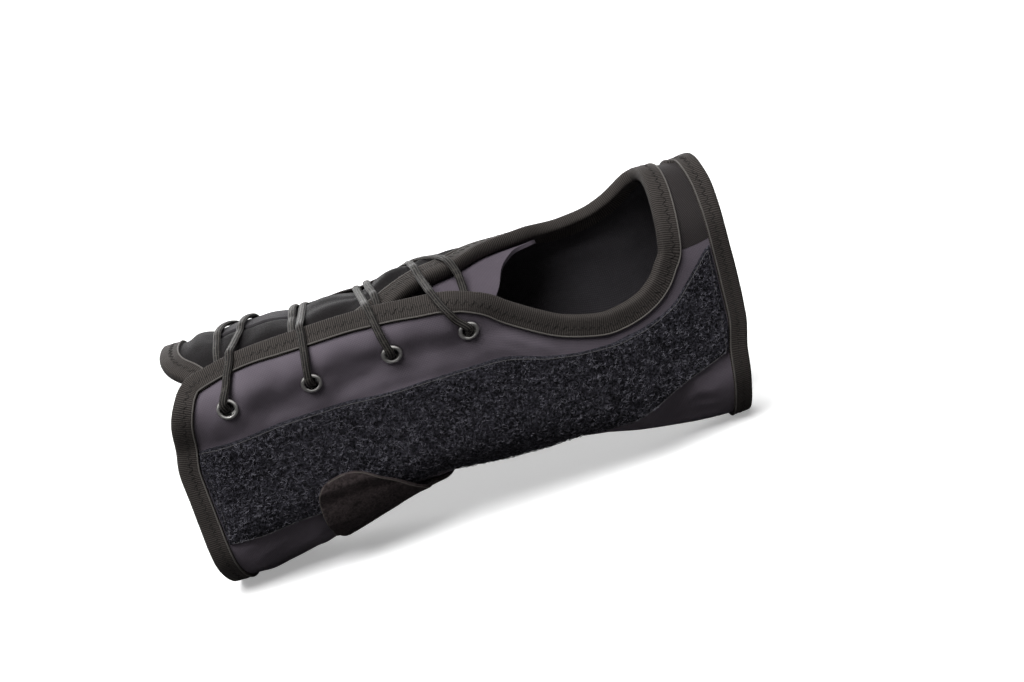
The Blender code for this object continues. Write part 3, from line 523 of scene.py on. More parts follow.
def nickel_material(name):
    """Dark plated nickel with rubbed rims and hairline scratches."""
    n = Nodes(name)
    where = n.place()
    cloudy = n.noise(where, 300.0, 4.0, 0.6)
    stretched = n.add("ShaderNodeMapping", {"Vector": where, "Scale": (1.0, 1.0, 9.0)})
    scratch = n.noise(stretched.outputs[0], 1400.0, 2.0, 0.7)
    line = n.maths("GREATER_THAN", scratch, 0.66)
    edge = n.add("ShaderNodeNewGeometry").outputs["Pointiness"]
    worn = n.ramp(edge, [(0.47, (0.0, 0.0, 0.0)), (0.56, (1.0, 1.0, 1.0))])
    colour = n.mix(cloudy, (0.25, 0.243, 0.235), (0.42, 0.41, 0.395))
    colour = n.mix(worn, colour, (0.62, 0.61, 0.59))
    rough = n.plus(n.scaled(cloudy, 0.2, 0.22), n.times(line, 0.2))
    normal = n.bump(scratch, 0.15, 0.00005)
    return n.finish(colour, rough, normal, metallic=1.0)


def aluminium_material(name):
    """Mill finish with its grain along the stay."""
    n = Nodes(name)
    where = n.place()
    stretched = n.add("ShaderNodeMapping", {"Vector": where, "Scale": (0.06, 1.0, 1.0)})
    grain = n.noise(stretched.outputs[0], 3000.0, 3.0, 0.7)
    cloudy = n.noise(where, 60.0, 3.0)
    colour = n.mix(grain, (0.56, 0.56, 0.57), (0.76, 0.76, 0.77))
    rough = n.scaled(cloudy, 0.2, 0.28)
    return n.finish(colour, rough, n.bump(grain, 0.3, 0.00004), metallic=1.0)


def plastic_material(name):
    """Matt moulded plastic."""
    n = Nodes(name)
    where = n.place()
    grain = n.add("ShaderNodeTexVoronoi", {"Vector": where, "Scale": 1500.0}).outputs["Distance"]
    cloudy = n.noise(where, 50.0, 3.0)
    colour = n.mix(cloudy, (0.055, 0.055, 0.058), (0.08, 0.08, 0.084))
    return n.finish(colour, n.scaled(cloudy, 0.2, 0.4), n.bump(grain, 0.3, 0.00008))


MAT = {
    # Painted light: the palm face's tone is set lighter to make up for the key sun reaching it only at a
    # slant, as the panel faces away from it.
    "face": knit_material("face_knit_painted_light", (0.095, 0.0820, 0.0985), (0.180, 0.155, 0.185), sheen=0.05),
    "back_face": knit_material("back_knit", (0.0044, 0.0038, 0.0041), (0.0105, 0.0091, 0.0097), sheen=0.035),
    "lining": knit_material("lining_knit", (0.026, 0.0245, 0.027), (0.062, 0.058, 0.065), 0.8, 0.08, 0.08),
    # Painted light: the tongue's tone is raised to make up for the shade it lies in below the slit.
    "tongue": knit_material("tongue_knit_painted_light", (0.060, 0.0505, 0.0615), (0.125, 0.106, 0.130), 0.5, 0.05),
    "tape": tape_material("binding_tape", (0.013, 0.0112, 0.0102), (0.080, 0.0705, 0.0655)),
    "webbing": tape_material("strap_webbing", (0.013, 0.0115, 0.0118), (0.050, 0.0440, 0.0440)),
    "selvage": thread_material("selvage_cord", (0.135, 0.125, 0.116)),
    "rim_thread": thread_material("rim_thread", (0.085, 0.075, 0.066)),
    "pale_thread": thread_material("pale_thread", (0.115, 0.111, 0.115)),
    "thread": thread_material("sewing_thread", (0.022, 0.019, 0.017)),
    "pile": pile_material("loop_pile", (0.0026, 0.0025, 0.0035), (0.0560, 0.0540, 0.0680)),
    "strap_face": knit_material("strap_knit", (0.0105, 0.0088, 0.0085), (0.029, 0.0240, 0.0230),
                                0.5, 0.05, 0.05),
    "tab_face": felt_material("tab_felt", (0.0140, 0.0110, 0.0110), (0.0620, 0.0490, 0.0500)),
    "patch": knit_material("patch_knit", (0.024, 0.022, 0.024), (0.056, 0.053, 0.057), 0.45, 0.1, 0.05),
    "cord": cord_material("elastic_braid", (0.004, 0.0036, 0.0034), (0.070, 0.0635, 0.058)),
    "hook": hook_material("hook_tape"),
    "nickel": nickel_material("dark_nickel"),
    "aluminium": aluminium_material("mill_aluminium"),
    "plastic": plastic_material("stay_plastic"),
}


# ---- mesh building -----------------------------------------------------------
def add_mesh(name, verts, faces, body, look, uvs=None, slots=None, sharp=50.0, replaces=()):
    """Mesh object in metres from millimetre points; uvs are one pair per point."""
    mesh = bpy.data.meshes.new(name)
    verts = np.asarray(verts, float)
    mesh.from_pydata((verts * MM).tolist(), [], faces)
    looks = look if isinstance(look, (list, tuple)) else [look]
    for one in looks:
        mesh.materials.append(MAT[one])
    if slots is not None:
        mesh.polygons.foreach_set("material_index", np.asarray(slots, np.int32))
    if uvs is not None:
        layer = mesh.uv_layers.new(name="cloth")
        index = np.empty(len(mesh.loops), np.int32)
        mesh.loops.foreach_get("vertex_index", index)
        layer.data.foreach_set("uv", np.asarray(uvs, np.float32)[index].ravel())
    mesh.polygons.foreach_set("use_smooth", np.ones(len(mesh.polygons), bool))
    mesh.update()
    mesh.set_sharp_from_angle(angle=math.radians(sharp))
    made = bpy.data.objects.new(name, mesh)
    bpy.context.scene.collection.objects.link(made)
    if body:
        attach(made, body)
    if replaces:
        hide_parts(*replaces)
    return made


def grid_uv(points):
    """Lengths along rows (u, down the forearm) and columns (v, round it)."""
    down = np.linalg.norm(np.diff(points, axis=0), axis=-1)
    across = np.linalg.norm(np.diff(points, axis=1), axis=-1)
    u = np.concatenate([np.zeros((1, points.shape[1])), np.cumsum(down, 0)], 0)
    v = np.concatenate([np.zeros((points.shape[0], 1)), np.cumsum(across, 1)], 1)
    u = u + points[0, :, 0][None, :]
    middle = v[:, [points.shape[1] // 2]]
    return np.stack([u, v - middle], -1)


def cells(number):
    """Corner numbers of every cell of a numbered grid."""
    corners = [number[:-1, :-1], number[1:, :-1], number[1:, 1:], number[:-1, 1:]]
    return np.stack(corners, -1).reshape(-1, 4)


def two_faced(inner, outer, keep=None):
    """Faces of a closed sheet over two equal grids, with every open border walled.

    Returns points, faces, a slot per face (0 outer and walls, 1 inner) and which
    of the grid points are used.
    """
    rows, cols, _ = inner.shape
    size = rows * cols
    number = np.arange(size).reshape(rows, cols)
    quads = cells(number)
    if keep is not None:
        quads = quads[keep.reshape(-1)[quads].all(1)]
    edges = np.concatenate([quads[:, [i, (i + 1) % 4]] for i in range(4)])
    key = edges[:, 0] * size + edges[:, 1]
    back = edges[:, 1] * size + edges[:, 0]
    border = edges[~np.isin(key, back)]
    walls = np.stack([border[:, 1], border[:, 0], border[:, 0] + size, border[:, 1] + size], -1)
    low = quads[:, ::-1] + size
    points = np.concatenate([outer.reshape(-1, 3), inner.reshape(-1, 3)])
    faces = np.concatenate([quads, walls, low])
    slots = np.concatenate([np.zeros(len(quads) + len(walls)), np.ones(len(low))]).astype(np.int32)
    used = np.zeros(len(points), bool)
    used[faces.ravel()] = True
    renumber = np.cumsum(used) - 1
    return points[used], renumber[faces].tolist(), slots, used


def sheet(name, inner, outer, body, look, keep=None, replaces=()):
    """Closed sheet between two grids; look names its outer and its inner face."""
    points, faces, slots, used = two_faced(inner, outer, keep)
    uv = grid_uv(outer).reshape(-1, 2)
    uv = np.concatenate([uv, uv])[used]
    return add_mesh(name, points, faces, body, look, uv, slots, 60.0, replaces)


def resample(points, step):
    """Even points along a polyline, keeping both ends."""
    points = np.asarray(points, float)
    length = np.concatenate([[0], np.cumsum(np.linalg.norm(np.diff(points, axis=0), axis=1))])
    count = max(int(round(length[-1] / step)), 2)
    at = np.linspace(0, length[-1], count + 1)
    return np.stack([np.interp(at, length, points[:, k]) for k in range(points.shape[1])], -1), at


def smooth_line(points, rounds):
    """A line of points smoothed a few times, its ends kept."""
    points = np.array(points, float)
    for _ in range(rounds):
        points[1:-1] = 0.25 * points[:-2] + 0.5 * points[1:-1] + 0.25 * points[2:]
    return points


def path_frames(points):
    """Tangents and a turning-free cross direction along a line of points."""
    tangent = unit(np.gradient(points, axis=0))
    one = np.zeros_like(points)
    start = np.array([0.0, 0.0, 1.0]) if abs(tangent[0, 2]) < 0.9 else np.array([1.0, 0.0, 0.0])
    vector = np.cross(start, tangent[0])
    for i, along in enumerate(tangent):
        vector = vector - along * np.dot(vector, along)
        vector = vector / max(np.linalg.norm(vector), 1e-9)
        one[i] = vector
    return tangent, one


def cord(name, points, radius, body, look, sides=12, flat=1.0, up=None, replaces=()):
    """Tube with lengthwise and round-the-tube coordinates; `flat` squeezes it along `up`."""
    points = np.asarray(points, float)
    count = len(points)
    tangent, one = path_frames(points)
    two = np.cross(tangent, one)
    if up is not None:
        two = unit(up - tangent * np.sum(up * tangent, -1, keepdims=True))
        one = np.cross(two, tangent)
    angle = np.arange(sides + 1) / sides * math.tau
    ring = (np.cos(angle)[None, :, None] * one[:, None] + flat * np.sin(angle)[None, :, None] * two[:, None])
    verts = points[:, None] + ring * radius
    travelled = np.concatenate([[0], np.cumsum(np.linalg.norm(np.diff(points, axis=0), axis=1))])
    u = np.repeat(travelled[:, None], sides + 1, 1)
    v = np.repeat(angle[None, :], count, 0)
    verts = verts.reshape(-1, 3)
    uvs = np.stack([u, v], -1).reshape(-1, 2)
    number = np.arange(count * (sides + 1)).reshape(count, sides + 1)
    faces = np.roll(cells(number)[:, ::-1], 1, axis=1).tolist()
    faces.append(number[0, :-1][::-1].tolist())
    faces.append(number[-1, :-1].tolist())
    return add_mesh(name, verts, faces, body, look, uvs, None, 70.0, replaces)


# ---- smooth seeded noise -----------------------------------------------------
LATTICE_SIDE = 64
LATTICE = RNG.random((LATTICE_SIDE, LATTICE_SIDE, LATTICE_SIDE))


def value_noise(points, scale):
    """Smooth noise, -1 to 1, of millimetre points; `scale` is the size of a lump."""
    p = np.asarray(points, float) / scale + 1000.0
    cell = np.floor(p).astype(int)
    f = p - cell
    f = f * f * (3 - 2 * f)
    total = 0.0
    for dx in (0, 1):
        for dy in (0, 1):
            for dz in (0, 1):
                corner = LATTICE[tuple(((cell + (dx, dy, dz)) % LATTICE_SIDE)[..., k] for k in range(3))]
                weight = ((f[..., 0] if dx else 1 - f[..., 0]) * (f[..., 1] if dy else 1 - f[..., 1])
                          * (f[..., 2] if dz else 1 - f[..., 2]))
                total = total + corner * weight
    return total * 2 - 1


def lumpy(points, *waves):
    """Sum of smooth noises, each given by its height and the size of its lumps."""
    return sum(height * value_noise(points, size) for height, size in waves)


# ---- stations of the shaped ends ---------------------------------------------
def rear_share(s):
    """How strongly the rear rim's shape is felt at a place along the panel."""
    return np.maximum(1 - s / RIM_BLEND, 0.0) ** 2


def front_share(s):
    """How strongly the front rim's shape is felt at a place along the panel."""
    return np.maximum(1 - (LENGTH - s) / RIM_BLEND, 0.0) ** 2


def palm_place(s, t):
    """Station after the shaped ends of the palm panel have been allowed for."""
    return s + rear_share(s) * palm_rear(t) + front_share(s) * (front_rim(t) - LENGTH)


def back_place(s, t):
    """Same as palm_place, for the back half."""
    return s + rear_share(s) * flap_rear(t) + front_share(s) * (front_rim(t) - LENGTH)


STRAP_FROM_T = -37.0
PATCH_X = (20.0, 50.0)
PATCH_T = (-17.0, 8.0)


def join_flap(obj):
    """Bakes the piece's placement into its mesh."""
    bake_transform(obj)


FINE = 1.0


def rows_between(low, high, step):
    """Even values from low to high, about a step apart."""
    return np.linspace(low, high, int(round((high - low) / (step * FINE))) + 1)


def columns(count):
    """Shares 0 to 1 across a sheet, as one row."""
    return np.linspace(0, 1, int(count / FINE))[None, :]


# ---- cloth settled on coarse grids -------------------------------------------
CLOTH_STEP = 4.0
CLOTH_FRAMES = 20
CLOTH_SCALE = 0.01
CLOTH_PRESSURE = 4.0
CLOTH_SLACK = 0.03
CLOTH_CAP = 1.1
CLOTH_MASS = 0.3
CLOTH_STIFFNESS = 15.0
CLOTH_SHEAR = 5.0
CLOTH_BENDING = 0.5
TAPE_CLEAR = 12.0


def settle(name, points, held):
    """Blow a sewn sheet up a little with the cloth solver and let it wrinkle.

    points is a grid of places in millimetres, held marks what is sewn down.  Gives
    how far each place moves along the sheet's normal, in millimetres.
    """
    rows, cols, _ = points.shape
    number = np.arange(rows * cols).reshape(rows, cols)
    mesh = bpy.data.meshes.new(name)
    mesh.from_pydata((points.reshape(-1, 3) * CLOTH_SCALE).tolist(), [], cells(number).tolist())
    mesh.update()
    body = bpy.data.objects.new(name, mesh)
    bpy.context.scene.collection.objects.link(body)
    group = body.vertex_groups.new(name="held")
    group.add([int(k) for k in number[held]], 1.0, "REPLACE")
    modifier = body.modifiers.new("cloth", "CLOTH")
    setting = modifier.settings
    setting.quality = 6
    setting.mass = CLOTH_MASS
    setting.tension_stiffness = CLOTH_STIFFNESS
    setting.compression_stiffness = CLOTH_STIFFNESS
    setting.shear_stiffness = CLOTH_SHEAR
    setting.bending_stiffness = CLOTH_BENDING
    setting.vertex_group_mass = "held"
    setting.shrink_min = -CLOTH_SLACK
    setting.shrink_max = -CLOTH_SLACK
    setting.use_pressure = True
    setting.uniform_pressure_force = CLOTH_PRESSURE
    setting.effector_weights.gravity = 0.0
    modifier.collision_settings.use_collision = False
    modifier.point_cache.frame_start = 1
    modifier.point_cache.frame_end = CLOTH_FRAMES
    scene = bpy.context.scene
    for frame_number in range(1, CLOTH_FRAMES + 1):
        scene.frame_set(frame_number)
    solved = body.evaluated_get(bpy.context.evaluated_depsgraph_get())
    moved = np.empty(rows * cols * 3, np.float32)
    solved.data.vertices.foreach_get("co", moved)
    moved = moved.reshape(rows, cols, 3) / CLOTH_SCALE - points
    along = np.gradient(points, axis=0)
    across = np.gradient(points, axis=1)
    normal = unit(np.cross(across, along))
    bpy.data.objects.remove(body, do_unlink=True)
    bpy.data.meshes.remove(mesh)
    scene.frame_set(1)
    height = np.sum(moved * normal, -1)
    height = height - np.mean(height[~held])
    return CLOTH_CAP * np.tanh(height / CLOTH_CAP) * ~held


def spline_weights(count, coarse):
    """Cubic B-spline weights that spread a coarse row of values over a fine one."""
    at = np.linspace(0, coarse - 1, count)
    low = np.minimum(np.floor(at).astype(int), coarse - 2)
    f = at - low
    table = np.zeros((count, coarse))
    shares = ((1 - f) ** 3 / 6, (3 * f ** 3 - 6 * f ** 2 + 4) / 6,
              (-3 * f ** 3 + 3 * f ** 2 + 3 * f + 1) / 6, f ** 3 / 6)
    for offset, share in zip((-1, 0, 1, 2), shares):
        np.add.at(table, (np.arange(count), np.clip(low + offset, 0, coarse - 1)), share)
    return table


def spread(values, rows, cols):
    """Values of a coarse grid, smoothly laid over a fine one."""
    return spline_weights(rows, values.shape[0]) @ values @ spline_weights(cols, values.shape[1]).T


def within(at, limits, past=0):
    """Which places lie between two limits, or a little past them."""
    return (at > limits[0] - past) & (at < limits[1] + past)


def near_border(points, reach):
    """Which places of a grid are within reach of its four sides."""
    down = np.cumsum(np.linalg.norm(np.diff(points, axis=0, prepend=points[:1]), axis=-1), 0)
    side = np.cumsum(np.linalg.norm(np.diff(points, axis=1, prepend=points[:, :1]), axis=-1), 1)
    gap = np.minimum(np.minimum(down, down[-1:] - down), np.minimum(side, side[:, -1:] - side))
    return gap < reach


# ---- palm half of the shell --------------------------------------------------
HELD_ROUND_EYELET = 5.0
HELD_BY_PILE = 1.5
HELD_UNDER_TAB_T = 105
HELD_UNDER_TAB_X = (36, 90)
PALM_CLOTH_COLUMNS = 34
HOLE_CUT = 1.9
EYELET_BOX_N = -0.33
HOLE_EDGE = 2.9
HOLE_EASE = 4.4
DIMPLE = 0.45
DIMPLE_REACH = 4.6

# Each eyelet stands where its box in the frame is, square to the panel there.
eyelets = []
for number, (x, t) in enumerate(EYELETS, 1):
    x, t = np.float64(x), np.float64(t)
    normal = surface_normal(palm_skin, x, t, MID_N)
    along = unit(palm_skin(x + 0.5, t, MID_N) - palm_skin(x - 0.5, t, MID_N))
    box_low, box_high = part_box("eyelet_%d" % number)
    middle = np.array((box_low + box_high) / 2) / MM - normal * EYELET_BOX_N
    eyelets.append((middle, along, np.cross(normal, along), normal))

s = rows_between(0, LENGTH, 0.9)[:, None]
v = columns(170)
top = palm_top(s)
t = top + (180.0 - top) * v
x = palm_place(s, t)
face = palm_skin(x, t, np.full_like(t, PANEL_OUT))
keep = np.ones(t.shape, bool)
dimple = np.zeros(t.shape)
for middle, along, other, normal in eyelets:
    away = face - middle
    radial = away - normal * np.sum(away * normal, -1, keepdims=True)
    reach = np.linalg.norm(radial, axis=-1)
    keep &= reach > HOLE_CUT
    dimple += DIMPLE * np.exp(-(reach / DIMPLE_REACH) ** 2)
puff = lumpy(face, (0.16, 17.0), (0.10, 7.0))
cs = np.linspace(0, LENGTH, int(LENGTH / CLOTH_STEP))[:, None]
ct = palm_top(cs) + (180.0 - palm_top(cs)) * np.linspace(0, 1, PALM_CLOTH_COLUMNS)[None, :]
cx = palm_place(cs, ct)
places = palm_skin(cx, ct, np.full_like(ct, MID_N))
held = near_border(places, TAPE_CLEAR)
held |= (ct > loop_top(cs) - HELD_BY_PILE) & (ct < loop_bottom(cs) + HELD_BY_PILE)
held |= (ct > HELD_UNDER_TAB_T) & within(cx, HELD_UNDER_TAB_X)
for middle, along, other, normal in eyelets:
    held |= np.linalg.norm(places - middle, axis=-1) < HELD_ROUND_EYELET
puff = puff + spread(settle("palm_settling", places, held), *t.shape)
outer = palm_skin(x, t, PANEL_OUT + puff - dimple)
inner = palm_skin(x, t, PANEL_IN + 0.5 * puff)


def open_hole(points, middle, normal):
    """Push the cut's ragged border out to just under the metal ring."""
    away = points - middle
    height = np.sum(away * normal, -1, keepdims=True)
    radial = away - normal * height
    reach = np.linalg.norm(radial, axis=-1, keepdims=True)
    near = (reach < HOLE_EASE) & (np.abs(height) < 6)
    share = (HOLE_EASE - reach) / (HOLE_EASE - HOLE_CUT)
    wider = reach + share * (HOLE_EDGE - HOLE_CUT)
    return np.where(near, middle + radial / np.maximum(reach, 1e-6) * wider + normal * height, points)


for middle, along, other, normal in eyelets:
    outer = open_hole(outer, middle, normal)
    inner = open_hole(inner, middle, normal)
sheet("palm_shell", inner, outer, "shell", ("face", "lining"), keep, replaces=("palm_panel",))

# ---- back half: forearm and hand in one piece of laminate --------------------
FLAP_BULGES = [
    (2, 20, 1.0), (23, 30, 0.8), (34, 47.5, 1.1), (54.5, 71, 1.2), (79, 93, 1.2), (95.5, 104, 0.8),
]
BULGE_FROM_T = (-58.0, -22.0)
BULGE_OFF_EDGE = (29.0, 14.0)
BULGE_OFF_RIM = (8.5, 13.0)
BULGE_ON_PATCH = 0.5
BACK_CLOTH_COLUMNS = 46
HELD_UNDER_STRAP_X = (26, 95)
HELD_PAST = 3
POCKET_X = (9, 104)
POCKET_T = (-97, -61)


def flap_rise(x, t):
    """How far the flap's cloth stands up between one lace and the next."""
    between = np.zeros_like(x)
    for low, high, rise in FLAP_BULGES:
        share = np.clip((x - low) / (high - low), 0, 1)
        between = np.maximum(between, rise * np.sin(math.pi * share) ** 0.7)
    edge = back_edge(x)
    inside = ease(*BULGE_FROM_T, t) * (1 - ease(edge - BULGE_OFF_EDGE[0], edge - BULGE_OFF_EDGE[1], t))
    inside = inside * ease(*BULGE_OFF_RIM, x - flap_rear(t))
    on_patch = ease(PATCH_X[0] - 4, PATCH_X[0], x) * (1 - ease(PATCH_X[1], PATCH_X[1] + 4, x))
    on_patch = on_patch * ease(PATCH_T[0] - 6, PATCH_T[0], t) * (1 - ease(PATCH_T[1], PATCH_T[1] + 6, t))
    return between * inside * (1 - (1 - BULGE_ON_PATCH) * on_patch)


s = rows_between(0, LENGTH, 0.9)[:, None]
v = columns(230)
top = back_edge(s)
t = -180.0 + (top + 180.0) * v
x = back_place(s, t)
face = skin(x, t, np.full_like(t, PANEL_OUT))
puff = lumpy(face, (0.18, 19.0), (0.10, 8.0))
puff = puff + flap_rise(x, t)
cs = np.linspace(0, LENGTH, int(LENGTH / CLOTH_STEP))[:, None]
ct = -180.0 + (back_edge(cs) + 180.0) * np.linspace(0, 1, BACK_CLOTH_COLUMNS)[None, :]
cx = back_place(cs, ct)
places = skin(cx, ct, np.full_like(ct, MID_N))
held = near_border(places, TAPE_CLEAR)
held |= (ct < STRAP_FROM_T + HELD_PAST) & within(cx, HELD_UNDER_STRAP_X)
held |= within(ct, PATCH_T, HELD_PAST) & within(cx, PATCH_X, HELD_PAST)
held |= within(ct, POCKET_T, 4) & within(cx, POCKET_X, 4)
puff = puff + spread(settle("back_settling", places, held), *t.shape)
outer = skin(x, t, PANEL_OUT + puff)
inner = skin(x, t, PANEL_IN + 0.5 * puff)
join_flap(sheet("back_shell", inner, outer, None, ("back_face", "lining"),
                replaces=("dorsal_flap", "dorsal_hand_panel")))

# ---- strap over the thumb web ------------------------------------------------
t = np.linspace(-8, 62, int(90 / FINE))[:, None]
u = columns(30)
x = strap_edge(t) + (front_rim(t) - strap_edge(t)) * u
t = t + np.zeros_like(x)
outer = skin(x, t, np.full_like(t, PANEL_OUT))
inner = skin(x, t, np.full_like(t, PANEL_IN))
sheet("web_strap", inner, outer, "shell", ("webbing", "lining"), replaces=("thumb_web_strap",))

# ---- tongue under the end of the slit ----------------------------------------
TONGUE_X = (99.0, 126.0)
TONGUE_UNDER_HAND = 12.0
TONGUE_UNDER_PALM = 8.0
TONGUE_IN = -2.8
TONGUE_OUT = -1.4

u = columns(60).T
v = columns(90)
station = TONGUE_X[0] + (TONGUE_X[1] - TONGUE_X[0]) * u
low = back_edge(station) - TONGUE_UNDER_HAND
high = palm_top(station) + TONGUE_UNDER_PALM
t = low + (high - low) * v
x = TONGUE_X[0] + (tongue_end(t) - TONGUE_X[0]) * u
ripple = 0.25 * value_noise(skin(x, t, np.zeros_like(t)), 9.0)
outer = skin(x, t, TONGUE_OUT + ripple)
inner = skin(x, t, TONGUE_IN + ripple)
join_flap(sheet("tongue_sheet", inner, outer, None, ("tongue", "lining"), replaces=("tongue",)))


# ---- folded edge tapes -------------------------------------------------------
TAPE_REACH = 6.5
TAPE_LIFT = 0.12
TAPE_THICK = 0.85
EDGE_STEP = 0.8
EDGE_TIGHT = 0.14
UNTANGLE_ROUNDS = 160
SEAM_AT = 3.2
SELVAGE_AT = 6.1
LEG_STEPS = np.array([0.0, 0.8, 1.8, 3.2, 4.8, 5.8, TAPE_REACH])


class Edge:
    """A panel edge with places a given distance in from it, for sewing things along."""

    def __init__(self, surface, path, inward, closed=False, rounds=9):
        self.surface = surface
        self.closed = closed
        path = np.asarray(path, float)
        middle = np.full(len(path), MID_N)
        points = surface(path[:, 0], path[:, 1], middle)
        _, self.length = resample(points, EDGE_STEP)
        full = np.concatenate([[0], np.cumsum(np.linalg.norm(np.diff(points, axis=0), axis=1))])
        x = np.interp(self.length, full, path[:, 0])
        t = np.interp(self.length, full, path[:, 1])
        x, t = smooth_line(x, rounds), smooth_line(t, rounds)
        if closed:
            x, t = x[:-1], t[:-1]
        self.x, self.t = x, t
        middle = np.full(len(x), MID_N)
        points = surface(x, t, middle)
        if closed:
            self.along = unit(np.roll(points, -1, 0) - np.roll(points, 1, 0))
        else:
            self.along = unit(np.gradient(points, axis=0))
        normal = surface_normal(surface, x, t, middle)
        side = unit(np.cross(normal, self.along)) * inward
        self.side = side
        rows = []
        for d in LEG_STEPS:
            px, pt = walk(surface, x, t, side, d, middle)
            rows.append(self.untangle(px, pt, d))
        self.px = np.stack([r[0] for r in rows], 1)
        self.pt = np.stack([r[1] for r in rows], 1)

    def untangle(self, px, pt, d):
        """Even out the places where the inner side of a corner would fold over itself."""
        if d == 0:
            return px, pt
        for _ in range(UNTANGLE_ROUNDS):
            points = self.surface(px, pt, np.full(len(px), MID_N))
            step = np.sum((points[1:] - points[:-1]) * (self.along[1:] + self.along[:-1]) / 2, -1)
            bad = np.zeros(len(px), bool)
            tight = step < EDGE_TIGHT
            if not tight.any():
                break
            bad[1:] |= tight
            bad[:-1] |= tight
            for _ in range(2):
                bad[1:-1] |= bad[:-2] | bad[2:]
            bad[[0, -1]] = False
            px = np.where(bad, smooth_line(px, 1), px)
            pt = np.where(bad, smooth_line(pt, 1), pt)
        return px, pt

    def place(self, i, d):
        """Stations and angles at fractional path index i and distance d inward."""
        count = len(self.x)
        i = np.asarray(i, float)
        low = np.floor(i).astype(int)
        part = i - low
        if self.closed:
            low, high = low % count, (low + 1) % count
        else:
            low = np.clip(low, 0, count - 2)
            high = low + 1
            part = np.clip(i - low, 0, 1)
        k = np.clip(np.searchsorted(LEG_STEPS, d, side="right") - 1, 0, len(LEG_STEPS) - 2)
        w = (d - LEG_STEPS[k]) / (LEG_STEPS[k + 1] - LEG_STEPS[k])

        def ends(table):
            return (table[low, k] * (1 - w) + table[low, k + 1] * w,
                    table[high, k] * (1 - w) + table[high, k + 1] * w)

        x_low, x_high = ends(self.px)
        t_low, t_high = ends(self.pt)
        if self.closed:
            t_high = t_high + np.round((t_low - t_high) / 360.0) * 360.0
        return x_low + (x_high - x_low) * part, t_low + (t_high - t_low) * part


def tape(name, edge, body, replaces):
    """Rounded U carried along an edge."""
    high = PANEL_OUT + TAPE_LIFT
    low = PANEL_IN - TAPE_LIFT
    mid = (high + low) / 2
    half = (high - low) / 2
    outer = [(TAPE_REACH, high + 0.15), (TAPE_REACH - 0.15, high + TAPE_THICK * 0.8),
             (5.8, high + TAPE_THICK), (4.8, high + TAPE_THICK), (SEAM_AT, high + TAPE_THICK * 0.82),
             (1.8, high + TAPE_THICK), (0.8, high + TAPE_THICK)]
    fold = []
    for k in range(9):
        angle = math.pi * (k + 0.5) / 9
        fold.append((-math.sin(angle) * (TAPE_THICK + 0.45), mid + math.cos(angle) * (half + TAPE_THICK)))
    lower = [(d, 2 * mid - n) for d, n in reversed(outer)]
    inner = [(TAPE_REACH, low + 0.9), (TAPE_REACH, high - 0.9)]
    profile = outer + fold + lower + inner
    count = len(edge.x)
    rings = []
    across = []
    travelled = 0.0
    step = edge.length[1] - edge.length[0]
    index = np.arange(count)
    noise_at = edge.surface(edge.x, edge.t, np.full(count, MID_N))
    wave_n = lumpy(noise_at, (0.10, 6.0), (0.05, 2.2))
    wave_d = 0.16 * value_noise(noise_at + 300.0, 9.0)
    previous = None
    for d, n in profile:
        if d >= 0:
            x, t = edge.place(index, np.clip(d, 0, TAPE_REACH))
            swell = wave_n if n > mid else -wave_n
            point = edge.surface(x, t, np.full(count, n) + swell)
        else:
            base = edge.surface(edge.x, edge.t, np.full(count, n))
            point = base - edge.side * (-d) + edge.side * wave_d[:, None]
            point[:, 2] = np.maximum(point[:, 2], 0.0)
        rings.append(point)
        if previous is not None:
            travelled += math.hypot(d - previous[0], n - previous[1])
        across.append(travelled)
        previous = (d, n)
    rings = np.stack(rings, 1)
    number = np.arange(rings.shape[0] * rings.shape[1]).reshape(rings.shape[:2])
    if edge.closed:
        number = np.concatenate([number, number[:1]])
    right = np.roll(number, -1, axis=1)
    quads = np.stack([number[:-1], right[:-1], right[1:], number[1:]], -1).reshape(-1, 4)
    faces = quads.tolist()
    if not edge.closed:
        faces.append(number[0][::-1].tolist())
        faces.append(number[-1].tolist())
    flat = rings.reshape(-1, 3)
    p, q, r, w = (flat[quads[:, k]] for k in range(4))
    volume = np.sum(np.cross(q - p, r - p) * p) + np.sum(np.cross(r - p, w - p) * p)
    if volume < 0:
        faces = [f[::-1] for f in faces]
    u = np.repeat((index * step)[:, None], len(profile), 1)
    uv = np.stack([u, np.repeat(np.array(across)[None], count, 0)], -1).reshape(-1, 2)
    return add_mesh(name, flat, faces, body, "tape", uv, None, 60.0, replaces)


def line_on(edge, d, height, sway=0.0, pitch=2.2, step=0.4):
    """Points of a line sewn along an edge, optionally zigzagging."""
    count = len(edge.x)
    spacing = edge.length[1] - edge.length[0]
    last = count if edge.closed else count - 1
    if sway:
        turns = int(last * spacing / pitch)
        i = np.linspace(0, last, turns * 2 + 1)
        d = d + np.where(np.arange(len(i)) % 2 == 0, -sway, sway)
    else:
        i = np.linspace(0, last, int(last * spacing / step) + 1)
        d = np.full(len(i), d)
    x, t = edge.place(i, d)
    normal = surface_normal(edge.surface, x, t, np.full(len(x), MID_N))
    return edge.surface(x, t, np.full(len(x), height)), normal


def zigzag(name, edge, body):
    """Machine zigzag: separate short stitches lying across the tape."""
    top = PANEL_OUT + TAPE_LIFT + TAPE_THICK * 0.86
    points, normal = line_on(edge, SEAM_AT, top + 0.02, 1.0, 3.0)
    return stitches(name, points, normal, 0.15, 0.12, body)


def tube_faces(base, steps, sides):
    """Side faces of a small tube whose points start at number base."""
    faces = []
    for m in range(steps):
        for j in range(sides):
            low, high = base + m * sides, base + (m + 1) * sides
            ahead = (j + 1) % sides
            faces.append((low + j, low + ahead, high + ahead, high + j))
    return faces


